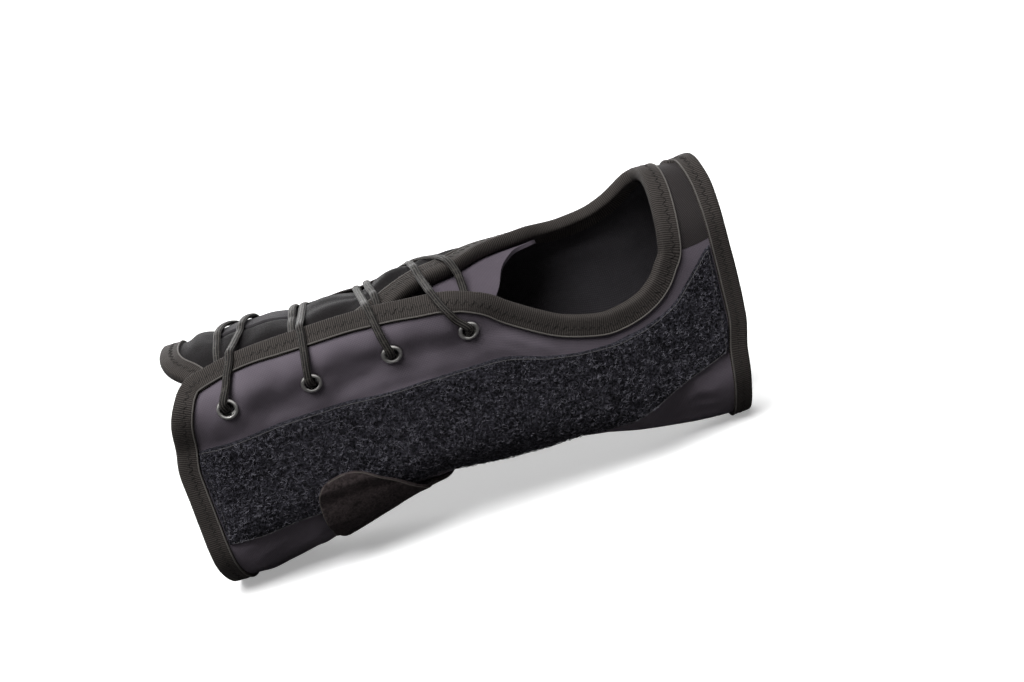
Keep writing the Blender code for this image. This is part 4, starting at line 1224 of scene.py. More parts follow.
def stitches(name, points, normal, radius, bow, body, look="thread"):
    """A thread segment for every pair of neighbouring points, sunk at its ends."""
    verts, faces, uvs = [], [], []
    along_steps = np.linspace(0, 1, 5)
    sides = 6
    base = 0
    for k in range(len(points) - 1):
        a, b = points[k], points[k + 1]
        n = unit(normal[k] + normal[k + 1])
        direction = unit(b - a)
        across = unit(np.cross(direction, n))
        for w in along_steps:
            centre = a + (b - a) * w + n * (bow * math.sin(math.pi * w) * 1.6 - bow * 0.5)
            for j in range(sides):
                angle = math.tau * j / sides
                verts.append(centre + (across * math.cos(angle) + n * math.sin(angle) * 0.8) * radius)
                uvs.append((w * np.linalg.norm(b - a), angle))
        faces += tube_faces(base, len(along_steps) - 1, sides)
        faces.append(tuple(base + j for j in range(sides))[::-1])
        faces.append(tuple(base + (len(along_steps) - 1) * sides + j for j in range(sides)))
        base += len(along_steps) * sides
    return add_mesh(name, verts, faces, body, look, uvs)


def sew(name, points, normal, pitch, radius, bow, body, look="thread"):
    """Even stitches along a line of points."""
    both, _ = resample(np.concatenate([points, normal], 1), pitch)
    return stitches(name, both[:, :3], both[:, 3:], radius, bow, body, look)


def rim_round(from_edge, reach):
    """1 at an edge, falling to 0 a reach inside it, like a quarter circle."""
    return 1 - np.sqrt(np.clip(1 - (1 - np.clip(from_edge / reach, 0, 1)) ** 2, 0, 1))


def selvage(name, edge, body):
    """Raised pale cord that runs along the inner edge of the tape."""
    top = PANEL_OUT + TAPE_LIFT + TAPE_THICK
    points, normal = line_on(edge, SELVAGE_AT, top + 0.05, step=0.6)
    return cord(name, points, 0.30, body, "selvage", 8, up=normal, flat=0.8)


def rim_places(rim, t):
    """Places along a rim at the given angles."""
    return np.stack([rim(t), t], 1)


# Round the palm half: little-finger border, rear rim, lacing edge, thumb hole
# and on along the web strap's inner edge.
t = np.linspace(180, float(palm_top(0.0)), 300)
rear = rim_places(palm_rear, t)
s = np.linspace(0, 179, 420)[1:]
top = np.stack([palm_place(s, palm_top(s)), palm_top(s)], 1)
t = np.linspace(62, -8, 120)[1:]
web = np.stack([strap_edge(t), t], 1)
palm_edge = Edge(palm_skin, np.concatenate([rear, top, web]), -1)
tape("tape_palm", palm_edge, "shell",
     ("tape_palm_rear", "tape_lacing_edge", "tape_thumb_hole", "tape_web_hole_edge"))
zigzag("stitch_palm", palm_edge, "shell")
selvage("selvage_palm", palm_edge, "shell")

# Round the back half: hand edge, flap edge and rear rim.
t = np.linspace(-180, float(back_edge(0.0)), 400)
rear = rim_places(flap_rear, t)
s = np.linspace(0, 180, 420)[1:]
top = np.stack([back_place(s, back_edge(s)), back_edge(s)], 1)
back_edge_line = Edge(skin, np.concatenate([rear, top]), 1)
join_flap(tape("tape_back", back_edge_line, None,
               ("tape_flap_rear", "tape_flap_edge", "tape_hand_edge")))
join_flap(zigzag("stitch_back", back_edge_line, None))
join_flap(selvage("selvage_back", back_edge_line, None))

# Round the front rim in one loop.
t = np.linspace(-180, 180, 700)
front_line = Edge(skin, rim_places(front_rim, t), -1, closed=True, rounds=0)
tape("tape_front", front_line, "shell", ("tape_palm_front", "tape_web_front", "tape_hand_front"))
zigzag("stitch_front", front_line, "shell")
selvage("selvage_front", front_line, "shell")

# ---- pile panel --------------------------------------------------------------
STAY_OUT = 5.25
STAY_RISE = STAY_OUT - PANEL_OUT + 0.35
STAY_FROM_X = 13.0
STAY_TO_X = 157.0
PILE_GAP = 0.5
PILE_THICK = 1.4
PILE_TAPE_GAP = 0.5
PILE_LENGTH = 191.5
PILE_FROM_X = 5.6
CURL_STEPS = 5
CURL_SIDES = 3


def stay_side(x, extra, side):
    """Angle of the stay's long edge, moved outward by extra millimetres."""
    centre = stay_centre(x)
    return centre + side * (stay_half(x) + extra) / mm_per_degree(x, centre + side * 6)


def over_stay(x, t, foot_width=5.0, end_length=3.0):
    """1 above the stay, easing to 0 beside and beyond it."""
    side = np.where(t > stay_centre(x), 1.0, -1.0)
    flat = np.where(side > 0, stay_side(x, 1.2, 1), stay_side(x, 1.2, -1)) - 90
    foot = np.where(side > 0, stay_side(x, foot_width, 1), stay_side(x, foot_width, -1)) - 90
    at = np.clip(((t - 90) * side - flat * side) / (foot * side - flat * side), 0, 1)
    beside = 1 - at * at * (3 - 2 * at)
    ends = (ease(STAY_FROM_X - 1 - end_length, STAY_FROM_X - 1, x)
            * (1 - ease(STAY_TO_X + 1, STAY_TO_X + 1 + 3 * end_length, x)))
    return beside * ends


def pile_floor(x, t):
    """Underside of the pile, raised over the stay."""
    return PANEL_OUT + PILE_GAP + STAY_RISE * over_stay(x, t)


def pile_top(x, t):
    """Face of the pile; the cloth bridges the stay's edges in a long soft slope."""
    return PANEL_OUT + PILE_GAP + STAY_RISE * over_stay(x, t, 13.0, 6.0) + PILE_THICK


def pile_place(s, t):
    """Station at s of the pile's length, between the rear and the front tape."""
    start = palm_rear(t) + TAPE_REACH + PILE_TAPE_GAP
    end = front_rim(t) - TAPE_REACH - PILE_TAPE_GAP
    return start + (end - start) * s / PILE_LENGTH


def pile_angle(s, share):
    """Angle at a share of the way from the pile's upper border to its lower one."""
    s = np.maximum(s, PILE_FROM_X)
    return loop_top(s) + (loop_bottom(s) - loop_top(s)) * share


s = rows_between(0, PILE_LENGTH, 0.55)[:, None]
v = columns(110)
top = pile_angle(s, 0)
bottom = pile_angle(s, 1)
t = pile_angle(s, v)
x = pile_place(s, t)
flat_pile = skin(x, t, pile_top(x, t))
border = np.minimum(np.minimum(v * (bottom - top), (1 - v) * (bottom - top)) * 0.6,
                    np.minimum(s, PILE_LENGTH - s) + 0 * t)
rounded = 1.1 * rim_round(border, 1.5)
lumps = lumpy(flat_pile, (0.20, 0.9), (0.18, 1.9), (0.10, 6.0))
outer = skin(x, t, pile_top(x, t) + lumps * (1 - 0.6 * np.clip(rounded, 0, 1)) - rounded)
inner = skin(x, t, pile_floor(x, t) - PILE_GAP + 0.03)
sheet("pile_sheet", inner, outer, "shell", ("pile", "lining"), replaces=("pile_panel",))

s = np.linspace(1.0, 190.5, 900)
marks = {}
for label, share in (("top", 0.012), ("bottom", 0.988)):
    t = pile_angle(s, share)
    marks[label] = np.stack([pile_place(s, t), t], 1)
loop = np.concatenate([marks["top"], marks["bottom"][::-1], marks["top"][:1]])
loop = smooth_line(loop, 2)
height = pile_top(loop[:, 0], loop[:, 1]) - 0.12
sew("pile_stitch", skin(loop[:, 0], loop[:, 1], height), base_normal(loop[:, 0], loop[:, 1]), 1.7,
    0.14, 0.16, "shell", "pale_thread")


def pile_curls(name, count):
    """Short stray loops standing out of the pile."""
    verts, faces, uvs = [], [], []
    rng = np.random.default_rng(11)
    base = 0
    s0 = rng.uniform(1.0, 190.0, count)
    v0 = rng.uniform(0.012, 0.988, count)
    t0 = pile_angle(s0, v0)
    x0 = pile_place(s0, t0)
    where = skin(x0, t0, pile_top(x0, t0))
    normal = base_normal(x0, t0)
    for k in range(count):
        turn = rng.uniform(0, math.tau)
        reach = rng.uniform(0.5, 1.5)
        rise = rng.uniform(0.18, 0.6)
        n = normal[k]
        a = unit(np.cross(n, [0.3, 0.9, 0.2]))
        b = np.cross(n, a)
        heading = a * math.cos(turn) + b * math.sin(turn)
        cross = np.cross(n, heading)
        lean = rng.uniform(-0.5, 0.5)
        radius = rng.uniform(0.05, 0.09)
        for m in range(CURL_STEPS + 1):
            w = m / CURL_STEPS
            arc = math.pi * w
            centre = (where[k] - heading * reach * math.cos(arc) * 0.5 + n * (rise * math.sin(arc) - 0.12)
                      + cross * lean * math.sin(arc * 1.3))
            for j in range(CURL_SIDES):
                angle = math.tau * j / CURL_SIDES
                verts.append(centre + (n * math.cos(angle) + cross * math.sin(angle)) * radius)
                uvs.append((w, angle))
        faces += tube_faces(base, CURL_STEPS, CURL_SIDES)
        base += (CURL_STEPS + 1) * CURL_SIDES
    return add_mesh(name, verts, faces, "shell", "curl", uvs)


n = Nodes("pile_fibre")
shade = n.noise(n.place(), 500.0, 1.0)
shade = n.ramp(shade, [(0.40, (0.006, 0.006, 0.008)), (0.62, (0.150, 0.146, 0.170))])
MAT["curl"] = n.finish(shade, 0.6, sheen=0.03, specular=0.15)
pile_curls("pile_fibres", 9000)


# ---- hook tab ----------------------------------------------------------------
TAB_SHAPE = [
    (107.2, 46.0, 50.5), (108.6, 43.4, 54.2), (111, 41.6, 57.2), (115, 40.2, 60.4), (119, 39.5, 63.2),
    (124, 39.2, 66.6), (130, 39.0, 70.3), (138, 39.0, 74.5), (148, 39.8, 78.3), (160, 41.0, 81.5),
    (170, 42.2, 84.0), (179.4, 43.0, 86.0),
]
tab_low = curve([(t, low) for t, low, high in TAB_SHAPE])
tab_high = curve([(t, high) for t, low, high in TAB_SHAPE])
TAPE_GAP = 0.55
HOOK_THICK = 0.9
TAB_TIP_T = 107.2
HOOK_FROM_T = 109.6
HOOK_END_T = 136.0
HOOK_INSET = 1.0
TAB_THICK = 1.5


def tab_floor(x, t):
    """Clear of the pile, then down onto the palm panel past its edge."""
    edge = loop_bottom(x)
    pile_part = 1 - ease(0, 1, (t - edge - 2) / 8)
    foot = stay_side(x, 5.0, 1)
    stay_part = 1 - ease(0, 1, (t - foot + 4) / 8)
    return PANEL_OUT + TAPE_GAP + (PILE_THICK + PILE_GAP) * pile_part + STAY_RISE * stay_part


def tab_under(x, t):
    """The backing rides over the hook face, then drops onto the palm panel."""
    return tab_floor(x, t) + (HOOK_THICK + 0.3) * (1 - ease(HOOK_END_T + 4, HOOK_END_T + 12, t))


w = columns(120).T
u = columns(80)
t = TAB_TIP_T + (180 - TAB_TIP_T) * w ** 1.5 + 0 * u
low = tab_low(t)
high = tab_high(t)
x = low + (high - low) * u
from_edge = np.minimum(np.minimum(x - low, high - x), (t - TAB_TIP_T) * mm_per_degree(x, t))
hem = 0.25 * ease(0, 0.8, from_edge)
rounding = 0.7 * rim_round(from_edge, 0.9)
face = skin(x, t, tab_under(x, t) + TAB_THICK)
soft = lumpy(face, (0.10, 9.0), (0.05, 3.0))
outer = skin(x, t, tab_under(x, t) + TAB_THICK - 0.25 + hem + soft - rounding)
inner = skin(x, t, tab_under(x, t) + 0.0 * t + rounding * 0.3)


def join_tab(obj):
    """Bakes the piece's placement into its mesh."""
    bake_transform(obj)


join_tab(sheet("hook_tab_cloth", inner, outer, None, ("tab_face", "hook"), replaces=("hook_tab",)))

w = columns(60).T
t = HOOK_FROM_T + (HOOK_END_T - HOOK_FROM_T) * w + 0 * u
low = tab_low(t) + HOOK_INSET
high = tab_high(t) - HOOK_INSET
x = low + (high - low) * u
face = skin(x, t, tab_floor(x, t))
rough = 0.10 * value_noise(face, 0.7)
inner = skin(x, t, tab_floor(x, t) + rough)
outer = skin(x, t, tab_floor(x, t) + HOOK_THICK + 0.35)
sheet("hook_pad", inner, outer, "tab", ("strap_face", "hook"), replaces=("hook_face",))


def tab_outline(inset, height, count=260):
    """Places round the free outline of the tab, from one long side to the other."""
    w = np.linspace(0, 1, count)
    t = TAB_TIP_T + (179.5 - TAB_TIP_T) * np.abs(1 - 2 * w) ** 1.5
    low = tab_low(t)
    high = tab_high(t)
    mid = (low + high) / 2
    half = (high - low) / 2
    side = np.where(w < 0.5, -1.0, 1.0)
    x = mid + side * half
    points = skin(x, t, tab_under(x, t) + height)
    along = unit(np.gradient(points, axis=0))
    normal = surface_normal(skin, x, t, np.full_like(t, 5.0))
    inward = unit(np.cross(normal, along))
    centre = skin(mid, t + 12, tab_under(mid, t) + height)
    flip = np.sign(np.sum(inward * (centre - points), -1))[:, None]
    return points + inward * flip * inset, normal


points, normal = tab_outline(0.35, TAB_THICK - 0.22)
join_tab(cord("tab_outline", smooth_line(points, 3), 0.20, None, "rim_thread", 8, up=normal, flat=0.8))

# ---- pull strap round the back -----------------------------------------------
COVER_FROM_T = -62.0
STRAP_IN = 3.5
STRAP_OUT = 5.1
STRAP_NARROW_T = -150.0
STRAP_AT_LACES = (29.0, 92.0)
STRAP_NARROWED = (14.0, 6.0)


def strap_limits(t):
    """Stations of the strap's two edges; it narrows toward the hook tab."""
    s = 1 - ease(STRAP_NARROW_T, STRAP_FROM_T, t)
    return STRAP_AT_LACES[0] + STRAP_NARROWED[0] * s, STRAP_AT_LACES[1] - STRAP_NARROWED[1] * s


t = np.linspace(-180, STRAP_FROM_T, int(210 / FINE))[:, None]
u = columns(110)
low, high = strap_limits(t)
x = low + (high - low) * u
t = t + 0 * u
from_edge = np.minimum(np.minimum(x - low, high - x), (STRAP_FROM_T - t) * mm_per_degree(x, t))
hem = 0.28 * ease(0, 0.6, from_edge) * (1 - ease(3.4, 4.2, from_edge))
rounding = 0.8 * rim_round(from_edge, 0.8)
face = skin(x, t, np.full_like(t, STRAP_OUT))
soft = lumpy(face, (0.14, 14.0), (0.06, 4.0))
outer = skin(x, t, STRAP_OUT - 0.2 + hem + soft - rounding)
inner = skin(x, t, np.full_like(t, STRAP_IN) + rounding * 0.2)
sheet("pull_strap_cloth", inner, outer, "flap", ("strap_face", "strap_face"), replaces=("pull_strap",))


STRAP_SEAM_INSET = 3.6
for side, end in enumerate(("low", "high")):
    t = np.linspace(-178, STRAP_FROM_T - 4, 400)
    x = strap_limits(t)[side] + STRAP_SEAM_INSET * (1 - 2 * side)
    points = skin(x, t, np.full_like(t, STRAP_OUT - 0.02))
    sew("strap_stitch_%s" % end, points, base_normal(x, t), 2.0, 0.17, 0.12, "flap")

# ---- cover sewn over the lace ends -------------------------------------------
COVER_INSET = 0.6
COVER_RIDGE_PITCH = 14.6
COVER_THICK = 0.75
COVER_RISE = 2.75
COVER_SEAMS = (("a", 1.6, 0.03), ("b", 3.2, 0.18))

t = np.linspace(COVER_FROM_T, STRAP_FROM_T - 1, int(60 / FINE))[:, None]
u = columns(110)
low, high = strap_limits(t)
low, high = low + COVER_INSET, high - COVER_INSET
x = low + (high - low) * u
t = t + 0 * u
sides = np.minimum(x - low, high - x)
tail = (t - COVER_FROM_T) * mm_per_degree(x, t)
up = ease(0, 5.0, sides) * ease(1.5, 7.5, tail)
ridges = 0.14 * np.cos((x - 36.0) * math.tau / COVER_RIDGE_PITCH) * up
face = skin(x, t, np.full_like(t, 8.0))
soft = 0.10 * value_noise(face, 6.0)
high_n = STRAP_OUT + COVER_THICK + COVER_RISE * up + ridges + soft
border = np.minimum(np.minimum(sides, tail), (STRAP_FROM_T - 1 - t) * mm_per_degree(x, t))
rounding = 0.6 * rim_round(border, 0.7)
outer = skin(x, t, high_n - rounding)
inner = skin(x, t, high_n - 0.95)
sheet("lace_cover_cloth", inner, outer, "flap", ("strap_face", "strap_face"), replaces=("lace_cover",))
for label, offset, rise in COVER_SEAMS:
    u = np.linspace(0, 1, 200)
    t = np.full(200, COVER_FROM_T + offset / 0.62)
    low, high = strap_limits(t)
    x = low + 2 + (high - low - 4) * u
    points = skin(x, t, np.full_like(t, STRAP_OUT + COVER_THICK + rise))
    sew("cover_stitch_%s" % label, points, base_normal(x, t), 2.0, 0.17, 0.12, "flap")

# ---- blank patch on the back -------------------------------------------------
PATCH_IN = 3.1
PATCH_OUT = 3.85


def rounded_grid(count_u, count_v, round_off):
    """Square grid on -1..1 pulled in to rounded corners."""
    a = np.linspace(-1, 1, count_u)[:, None] + np.zeros((1, count_v))
    b = np.linspace(-1, 1, count_v)[None, :] + np.zeros((count_u, 1))
    return a * (1 - round_off * b ** 8 * np.abs(a)), b * (1 - round_off * a ** 8 * np.abs(b))


a, b = rounded_grid(int(90 / FINE), int(60 / FINE), 0.05)
x = (PATCH_X[0] + PATCH_X[1]) / 2 + a * (PATCH_X[1] - PATCH_X[0]) / 2
t = (PATCH_T[0] + PATCH_T[1]) / 2 + b * (PATCH_T[1] - PATCH_T[0]) / 2
border = np.minimum((1 - np.abs(a)) * 15, (1 - np.abs(b)) * 8.5)
band = 0.35 * ease(0, 0.5, border) * (1 - ease(1.6, 2.2, border))
face = skin(x, t, np.full_like(t, 4.0))
raised = flap_rise(x, t)
soft = 0.05 * value_noise(face, 3.0) - 0.4 * (1 - ease(0, 0.5, border))
outer = skin(x, t, PATCH_OUT + raised + band + soft)
inner = skin(x, t, PATCH_IN + raised)
sheet("patch_cloth", inner, outer, "flap", ("patch", "patch"), replaces=("blank_patch",))

# ---- pocket over the back stay -----------------------------------------------
POCKET_OUT = 0.35
POCKET_IN = -0.55
POCKET_DEEP = 2.45

x = np.linspace(*POCKET_X, int(120 / FINE))[:, None]
t = np.linspace(*POCKET_T, int(60 / FINE))[None, :]
x, t = np.broadcast_arrays(x, t)
border = np.minimum(np.minimum(x - POCKET_X[0], POCKET_X[1] - x),
                    np.minimum(t - POCKET_T[0], POCKET_T[1] - t) * 0.75)
down = ease(0, 5, border)
face = skin(x, t, np.full_like(t, -2.0))
outer = skin(x, t, POCKET_OUT - POCKET_DEEP * down)
inner = skin(x, t, POCKET_IN - 2.4 * down + 0.06 * value_noise(face, 5.0))
sheet("stay_pocket_cloth", inner, outer, "flap", ("lining", "lining"), replaces=("back_stay_pocket",))
corners = [(10.6, -95.0), (10.6, -63.0), (102.4, -63.0), (102.4, -95.0), (10.6, -95.0)]
line, _ = resample(corners, 0.5)
points = skin(line[:, 0], line[:, 1], np.full(len(line), POCKET_IN - 0.07))
sew("pocket_stitch", points, -base_normal(line[:, 0], line[:, 1]), 2.0, 0.16, 0.10, "flap")


# ---- eyelets and washers -----------------------------------------------------
def turned(name, frame_of, profile, body, look, segments=48, replaces=()):
    """Ring turned from a closed (radius, height) profile."""
    centre, along, other, normal = frame_of
    profile = np.asarray(profile, float)
    angle = np.arange(segments) / segments * math.tau
    spoke = np.cos(angle)[:, None] * along + np.sin(angle)[:, None] * other
    verts = (centre + spoke[:, None, :] * profile[None, :, [0]] + normal * profile[None, :, [1]])
    number = np.arange(segments * len(profile)).reshape(segments, len(profile))
    ahead = np.roll(number, -1, 0)
    right = np.roll(number, -1, 1)
    both = np.roll(ahead, -1, 1)
    quads = np.stack([number, right, both, ahead], -1).reshape(-1, 4)
    flat = verts.reshape(-1, 3)
    p, q, r, w = (flat[quads[:, k]] - centre for k in range(4))
    if np.sum(np.cross(q - p, r - p) * p) + np.sum(np.cross(r - p, w - p) * p) < 0:
        quads = quads[:, ::-1]
    return add_mesh(name, flat, quads.tolist(), body, look, None, None, 40.0, replaces)


def rolled(radius, height, half_w, half_h, start, stop, count=12):
    """Part of an oval in a ring's profile."""
    angle = np.radians(np.linspace(start, stop, count))
    return [(radius + half_w * math.cos(a), height + half_h * math.sin(a)) for a in angle]


for number, place in enumerate(eyelets, 1):
    profile = rolled(3.02, 1.72, 0.72, 0.75, 180, -20, 16) + [(2.75, 1.2), (2.75, -2.6)]
    profile += rolled(2.85, -2.85, 0.55, 0.45, 0, -180, 10)
    turned("eyelet_ring_%d" % number, place, profile, "shell", "nickel", 64, ("eyelet_%d" % number,))
    profile = [(2.95, -2.0)] + rolled(3.5, -2.25, 0.5, 0.4, 90, -90, 8) + [(2.95, -2.7)]
    turned("washer_ring_%d" % number, place, profile, "shell", "nickel", 48, ("washer_%d" % number,))

# ---- laces -------------------------------------------------------------------
CORD_WIDE = 1.4
CORD_FLAT = 0.62
CORD_TOP = 10.95
CORD_LOW = 6.4
CORD_ON_FLAP = 4.4
CORD_ON_PATCH = 5.1
CORD_ON_TAPE = 5.4
BIGHT_T = -41.0
CORD_TOUCH_T = [12.0, -6.0, -6.0, 24.0]
OVER_PATHS = [
    [(BIGHT_T, 35.5), (0, 30.5), (39, 28.0), (55.5, 21.5)],
    [(BIGHT_T, 53.0), (0, 52.5), (42, 53.5), (60.0, 51.0)],
    [(BIGHT_T, 71.0), (0, 73.0), (43, 77.3), (61.5, 80.0)],
    [(BIGHT_T, 89.5), (0, 94.5), (43, 98.5), (62.4, 106.5)],
]
UNDER_PATHS = [
    [(BIGHT_T, 31.0), (5, 21.5), (33, 21.0), (42, 21.0)],
    [(BIGHT_T, 48.4), (7, 48.5), (34, 49.0), (43, 49.0)],
    [(BIGHT_T, 76.0), (-10, 77.5), (36, 80.0), (45, 80.0)],
]
SLIT_FROM_X = 84.5
PATCH_NEAR_T = ((-22.0, -17.0), (8.0, 13.0))
SLIT_STRAND = [
    (BIGHT_T, SLIT_FROM_X, CORD_LOW), (-32, 86.5, 5.6), (-22, 90.0, 4.7), (-10, 96.0, CORD_ON_FLAP),
    (1, 102.0, CORD_ON_FLAP), (10, 105.5, 4.9), (17, 107.2, 5.3), (22, 108.2, 4.9), (28, 109.3, 3.0),
    (34, 109.6, 1.3), (41, 109.6, 1.15), (47, 109.6, 1.15),
]


def spline(points, step=0.5):
    """Even points on a centripetal curve through the given ones."""
    points = np.asarray(points, float)
    padded = np.concatenate([[2 * points[0] - points[1]], points, [2 * points[-1] - points[-2]]])
    out = []
    for i in range(1, len(padded) - 2):
        p0, p1, p2, p3 = padded[i - 1:i + 3]
        t0 = 0.0
        t1 = t0 + math.sqrt(np.linalg.norm(p1 - p0))
        t2 = t1 + math.sqrt(np.linalg.norm(p2 - p1))
        t3 = t2 + math.sqrt(np.linalg.norm(p3 - p2))
        for at in np.linspace(t1, t2, 12, endpoint=False):
            a1 = (t1 - at) / (t1 - t0) * p0 + (at - t0) / (t1 - t0) * p1
            a2 = (t2 - at) / (t2 - t1) * p1 + (at - t1) / (t2 - t1) * p2
            a3 = (t3 - at) / (t3 - t2) * p2 + (at - t2) / (t3 - t2) * p3
            b1 = (t2 - at) / (t2 - t0) * a1 + (at - t0) / (t2 - t0) * a2
            b2 = (t3 - at) / (t3 - t1) * a2 + (at - t1) / (t3 - t1) * a3
            out.append((t2 - at) / (t2 - t1) * b1 + (at - t1) / (t2 - t1) * b2)
    out.append(points[-1])
    return resample(out, step)[0]


def spot(x, t, n):
    """A single place on the shell."""
    return skin(np.array([float(x)]), np.array([float(t)]), np.array([float(n)]))[0]


def low_height(x, t):
    """Height of a cord lying on the flap or its patch, and from there on the strap."""
    patch = float(ease(*PATCH_NEAR_T[0], t) * (1 - ease(*PATCH_NEAR_T[1], t)) * (1 - ease(50, 54, x)))
    low = CORD_ON_FLAP + (CORD_ON_PATCH - CORD_ON_FLAP) * patch
    low = low + (CORD_ON_TAPE - low) * float(ease(back_edge(x) - 17, back_edge(x) - 13, t))
    return CORD_LOW + (low - CORD_LOW) * float(ease(STRAP_FROM_T + 1, STRAP_FROM_T + 8, t))


def lace_height(x, t):
    """Height of the cord over the palm panel."""
    over_panel = PANEL_OUT + float(lift(x, t)) + 1.75
    high = max(over_panel, CORD_TOP - 1.2 * float(ease(54, 60, t)))
    return over_panel + (high - over_panel) * float(1 - ease(54, 60, t)) if t > 54 else high


def over_strand(place, path, touch_t):
    """From the knot out through the eyelet, straight off the panel's edge, then down to the strap."""
    centre, along, other, normal = place
    toward = np.cross(along, normal)
    across = curve(path)
    eyelet_t = path[-1][0]
    edge_t = float(palm_top(across(path[-2][0])))
    points = [centre + normal * h for h in (-5.0, -3.6, 0.5, 2.4)]
    points.append(centre - toward * 1.0 + normal * 3.7)
    points.append(centre - toward * 2.8 + normal * 4.3)
    for u in [0.3] + list(np.linspace(0.5, 1, 4)):
        t = eyelet_t + (edge_t - eyelet_t) * u
        x = float(across(t))
        points.append(spot(x, t, lace_height(x, t)))
    edge = points[-1]
    x = float(across(touch_t))
    touch = spot(x, touch_t, low_height(x, touch_t))
    points += [edge + (touch - edge) * u for u in (0.25, 0.5, 0.75)]
    for t in np.linspace(touch_t, BIGHT_T, 12):
        x = float(across(t))
        points.append(spot(x, t, low_height(x, t)))
    return points


def under_strand(path):
    """From the strap over the flap and in below the panel's edge."""
    across = curve(path)
    points = []
    for t in np.linspace(BIGHT_T, path[-1][0], 16):
        x = float(across(t))
        points.append(spot(x, t, low_height(x, t)))
    return points


def bight(x_in, x_out):
    """The turn of a cord inside the strap."""
    middle = (x_in + x_out) / 2
    half = (x_out - x_in) / 2
    points = []
    for k in range(1, 4):
        angle = math.pi * k / 4
        x = middle - half * math.cos(angle)
        points.append(spot(x, BIGHT_T - 5.0 * math.sin(angle), CORD_LOW))
    return points


for number, (place, path, touch_t) in enumerate(zip(eyelets, OVER_PATHS, CORD_TOUCH_T), 1):
    if number <= len(UNDER_PATHS):
        second = under_strand(UNDER_PATHS[number - 1])
        turn_x = UNDER_PATHS[number - 1][0][1]
    else:
        second = [spot(x, t, height) for t, x, height in SLIT_STRAND]
        turn_x = SLIT_FROM_X
    points = spline(over_strand(place, path, touch_t) + bight(path[0][1], turn_x) + second, 0.4)
    outward = points - np.stack([points[:, 0], np.full(len(points), -6.0), 55.0 + 0 * points[:, 0]], 1)
    lace = cord("lace_cord_%d" % number, points, CORD_WIDE, None, "cord", 18, flat=CORD_FLAT, up=outward,
                replaces=("lace_%d" % number,))
    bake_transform(lace)

# ---- knots behind the eyelets ------------------------------------------------
KNOT_DEPTH = 5.4
KNOT_CORD = 0.85

for number, (centre, along, other, normal) in enumerate(eyelets, 1):
    angle = np.linspace(0, math.tau, 120, endpoint=False)
    r = 1.25 + 0.55 * np.cos(3 * angle)
    middle = centre - normal * KNOT_DEPTH
    points = (middle + along * (1.15 * r * np.cos(2 * angle))[:, None]
              + other * (0.95 * r * np.sin(2 * angle))[:, None]
              + normal * (0.75 * np.sin(3 * angle))[:, None])
    points = np.concatenate([points, points[:1]])
    cord("knot_%d" % number, points, KNOT_CORD, "shell", "cord", 10, replaces=("lace_knot_%d" % number,))


# ---- looks of the pieces kept from the frame ---------------------------------
def repaint(node, look):
    """Give a piece kept from the frame a material of its own."""
    for obj in bpy.data.objects:
        if obj.type == "MESH" and obj.name.split(".")[0] == node:
            obj.data.materials.clear()
            obj.data.materials.append(MAT[look])


repaint("palm_stay", "aluminium")
repaint("back_stay", "plastic")

# ---- floor, light and camera -------------------------------------------------
AMBIENT = 0.05
REFLECTED = 0.95
BACKDROP = 1.15
FLOOR_GLOW = 0.32
FLOOR_BOUNCE = 0.10
FLOOR_REACH = 12.0
LOW_MARKS = [
    ("ground_mark", "shell", (0.0, 0.0, 0.0)),
    ("tab_mark", "tab", (53.2, -40.4, 37.4)),
    ("flap_mark", "flap", (5.8, 13.0, 1.3)),
]

n = Nodes("studio_floor")
where = n.place()
seen = n.add("ShaderNodeLightPath").outputs["Is Camera Ray"]
shade = n.mix(n.noise(where, 3.0, 2.0), (0.86, 0.86, 0.86), (0.88, 0.88, 0.88))
shade = n.mix(seen, (FLOOR_BOUNCE, FLOOR_BOUNCE, FLOOR_BOUNCE), shade)
n.put(n.shader.inputs["Emission Color"], (1.0, 1.0, 1.0))
n.put(n.shader.inputs["Emission Strength"], n.times(seen, FLOOR_GLOW))
floor_look = n.finish(shade, 0.75, n.bump(n.noise(where, 220.0, 2.0), 0.05, 0.0002), specular=0.0)
floor_mesh = bpy.data.meshes.new("floor")
reach = FLOOR_REACH
floor_mesh.from_pydata([(-reach, -reach, 0), (reach, -reach, 0), (reach, reach, 0), (-reach, reach, 0)],
                       [], [(0, 1, 2, 3)])
floor_mesh.materials.append(floor_look)
floor = bpy.data.objects.new("floor", floor_mesh)
bpy.context.scene.collection.objects.link(floor)
floor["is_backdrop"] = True


def low_mark(name, body, place):
    """Unseen point carried by a body, for the floor to stay below."""
    mark = bpy.data.objects.new(name, None)
    mark.location = Vector(place) * MM
    bpy.context.scene.collection.objects.link(mark)
    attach(mark, body)
    mark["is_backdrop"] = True
    return mark


# The floor drops out of the way of the hook tab and the flap when they swing down.
drop = floor.driver_add("location", 2).driver
drop.type = "MIN"
for name, body, place in LOW_MARKS:
    variable = drop.variables.new()
    variable.name = name
    variable.type = "TRANSFORMS"
    variable.targets[0].id = low_mark(name, body, place)
    variable.targets[0].transform_type = "LOC_Z"
    variable.targets[0].transform_space = "WORLD_SPACE"

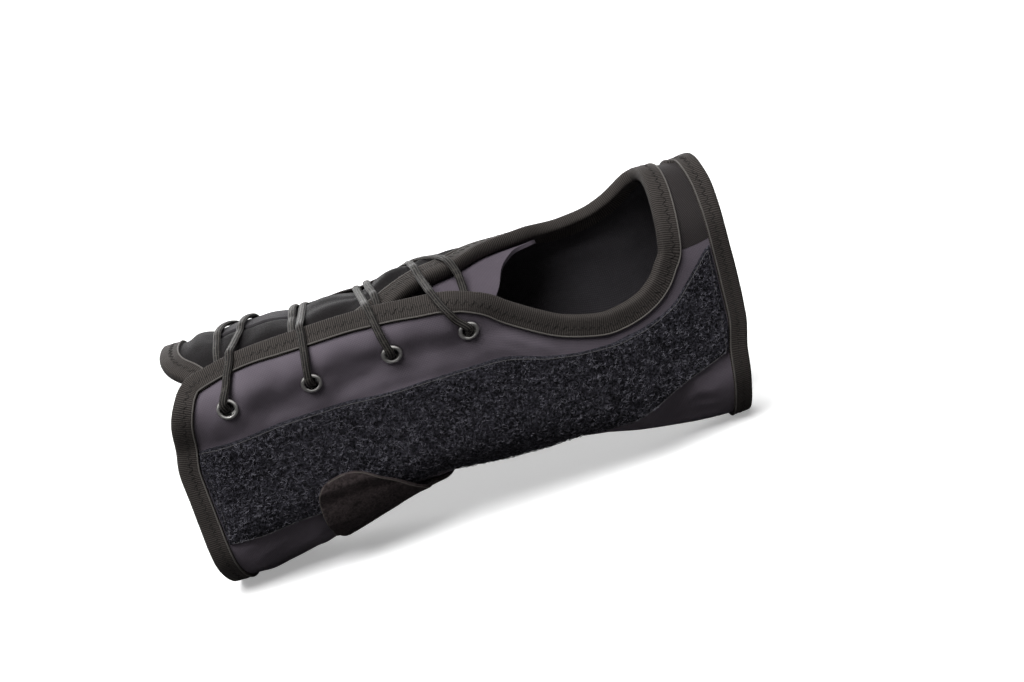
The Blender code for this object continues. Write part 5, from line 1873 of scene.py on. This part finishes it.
# The surroundings look white to the camera and give only a little light themselves.
world = bpy.data.worlds.new("studio")
world.use_nodes = True
tree = world.node_tree
sky = tree.nodes["Background"]
sky.inputs["Color"].default_value = (1, 1, 1, 1)
path = tree.nodes.new("ShaderNodeLightPath")
power = tree.nodes.new("ShaderNodeMath")
power.operation = "MULTIPLY_ADD"
power.inputs[1].default_value = BACKDROP - AMBIENT
shine = tree.nodes.new("ShaderNodeMath")
shine.operation = "MULTIPLY_ADD"
shine.inputs[1].default_value = REFLECTED - AMBIENT
shine.inputs[2].default_value = AMBIENT
tree.links.new(path.outputs["Is Glossy Ray"], shine.inputs[0])
tree.links.new(path.outputs["Is Camera Ray"], power.inputs[0])
tree.links.new(shine.outputs[0], power.inputs[2])
tree.links.new(power.outputs[0], sky.inputs["Strength"])
bpy.context.scene.world = world
bpy.context.scene.view_settings.view_transform = "Standard"


def hang(name, data, power, at, toward):
    """Put a light in the scene with its back turned toward a direction."""
    data.energy = power
    made = bpy.data.objects.new(name, data)
    made.location = at
    made.rotation_euler = toward.to_track_quat("Z", "Y").to_euler()
    bpy.context.scene.collection.objects.link(made)
    made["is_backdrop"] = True


def lamp(name, at, aim, size, power):
    """Soft rectangular light, kept out of the part."""
    data = bpy.data.lights.new(name, "AREA")
    data.shape = "RECTANGLE"
    data.size, data.size_y = size
    hang(name, data, power, at, Vector(at) - Vector(aim))


def sun(name, toward, spread, power):
    """Light from one direction, kept out of the part."""
    data = bpy.data.lights.new(name, "SUN")
    data.angle = math.radians(spread)
    hang(name, data, power, (0, 0, 0), Vector(toward))


low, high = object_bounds()
middle = (low + high) / 2
sun("key", (-0.25, -0.52, 1.02), 42.0, 4.4)
sun("fill", (-0.45, 0.9, 0.1), 60.0, 3.0)
lamp("edge", (0.15, 0.95, 0.55), middle, (0.9, 0.5), 2.0)

VIEW_AIM = Vector((0.1204, 0.0, 0.054))
VIEW_DISTANCE = 0.55
VIEW_ELEVATION = 15.0
VIEW_ROLL = 17.5
SENSOR = 36.0
FOCAL = 52.84
camera_data = bpy.data.cameras.new("view")
camera_data.lens = FOCAL
camera_data.sensor_width = SENSOR
camera_data.clip_start = 0.01
camera = bpy.data.objects.new("view", camera_data)
raised = math.radians(VIEW_ELEVATION)
back_dir = Vector((0, -math.cos(raised), math.sin(raised)))
right = Vector((1, 0, 0))
up = back_dir.cross(right)
roll = math.radians(VIEW_ROLL)
right_r = right * math.cos(roll) - up * math.sin(roll)
up_r = up * math.cos(roll) + right * math.sin(roll)
turn = Matrix((right_r, up_r, back_dir)).transposed().to_4x4()
camera.matrix_world = Matrix.Translation(VIEW_AIM + back_dir * VIEW_DISTANCE) @ turn
bpy.context.scene.collection.objects.link(camera)
bpy.context.scene.camera = camera
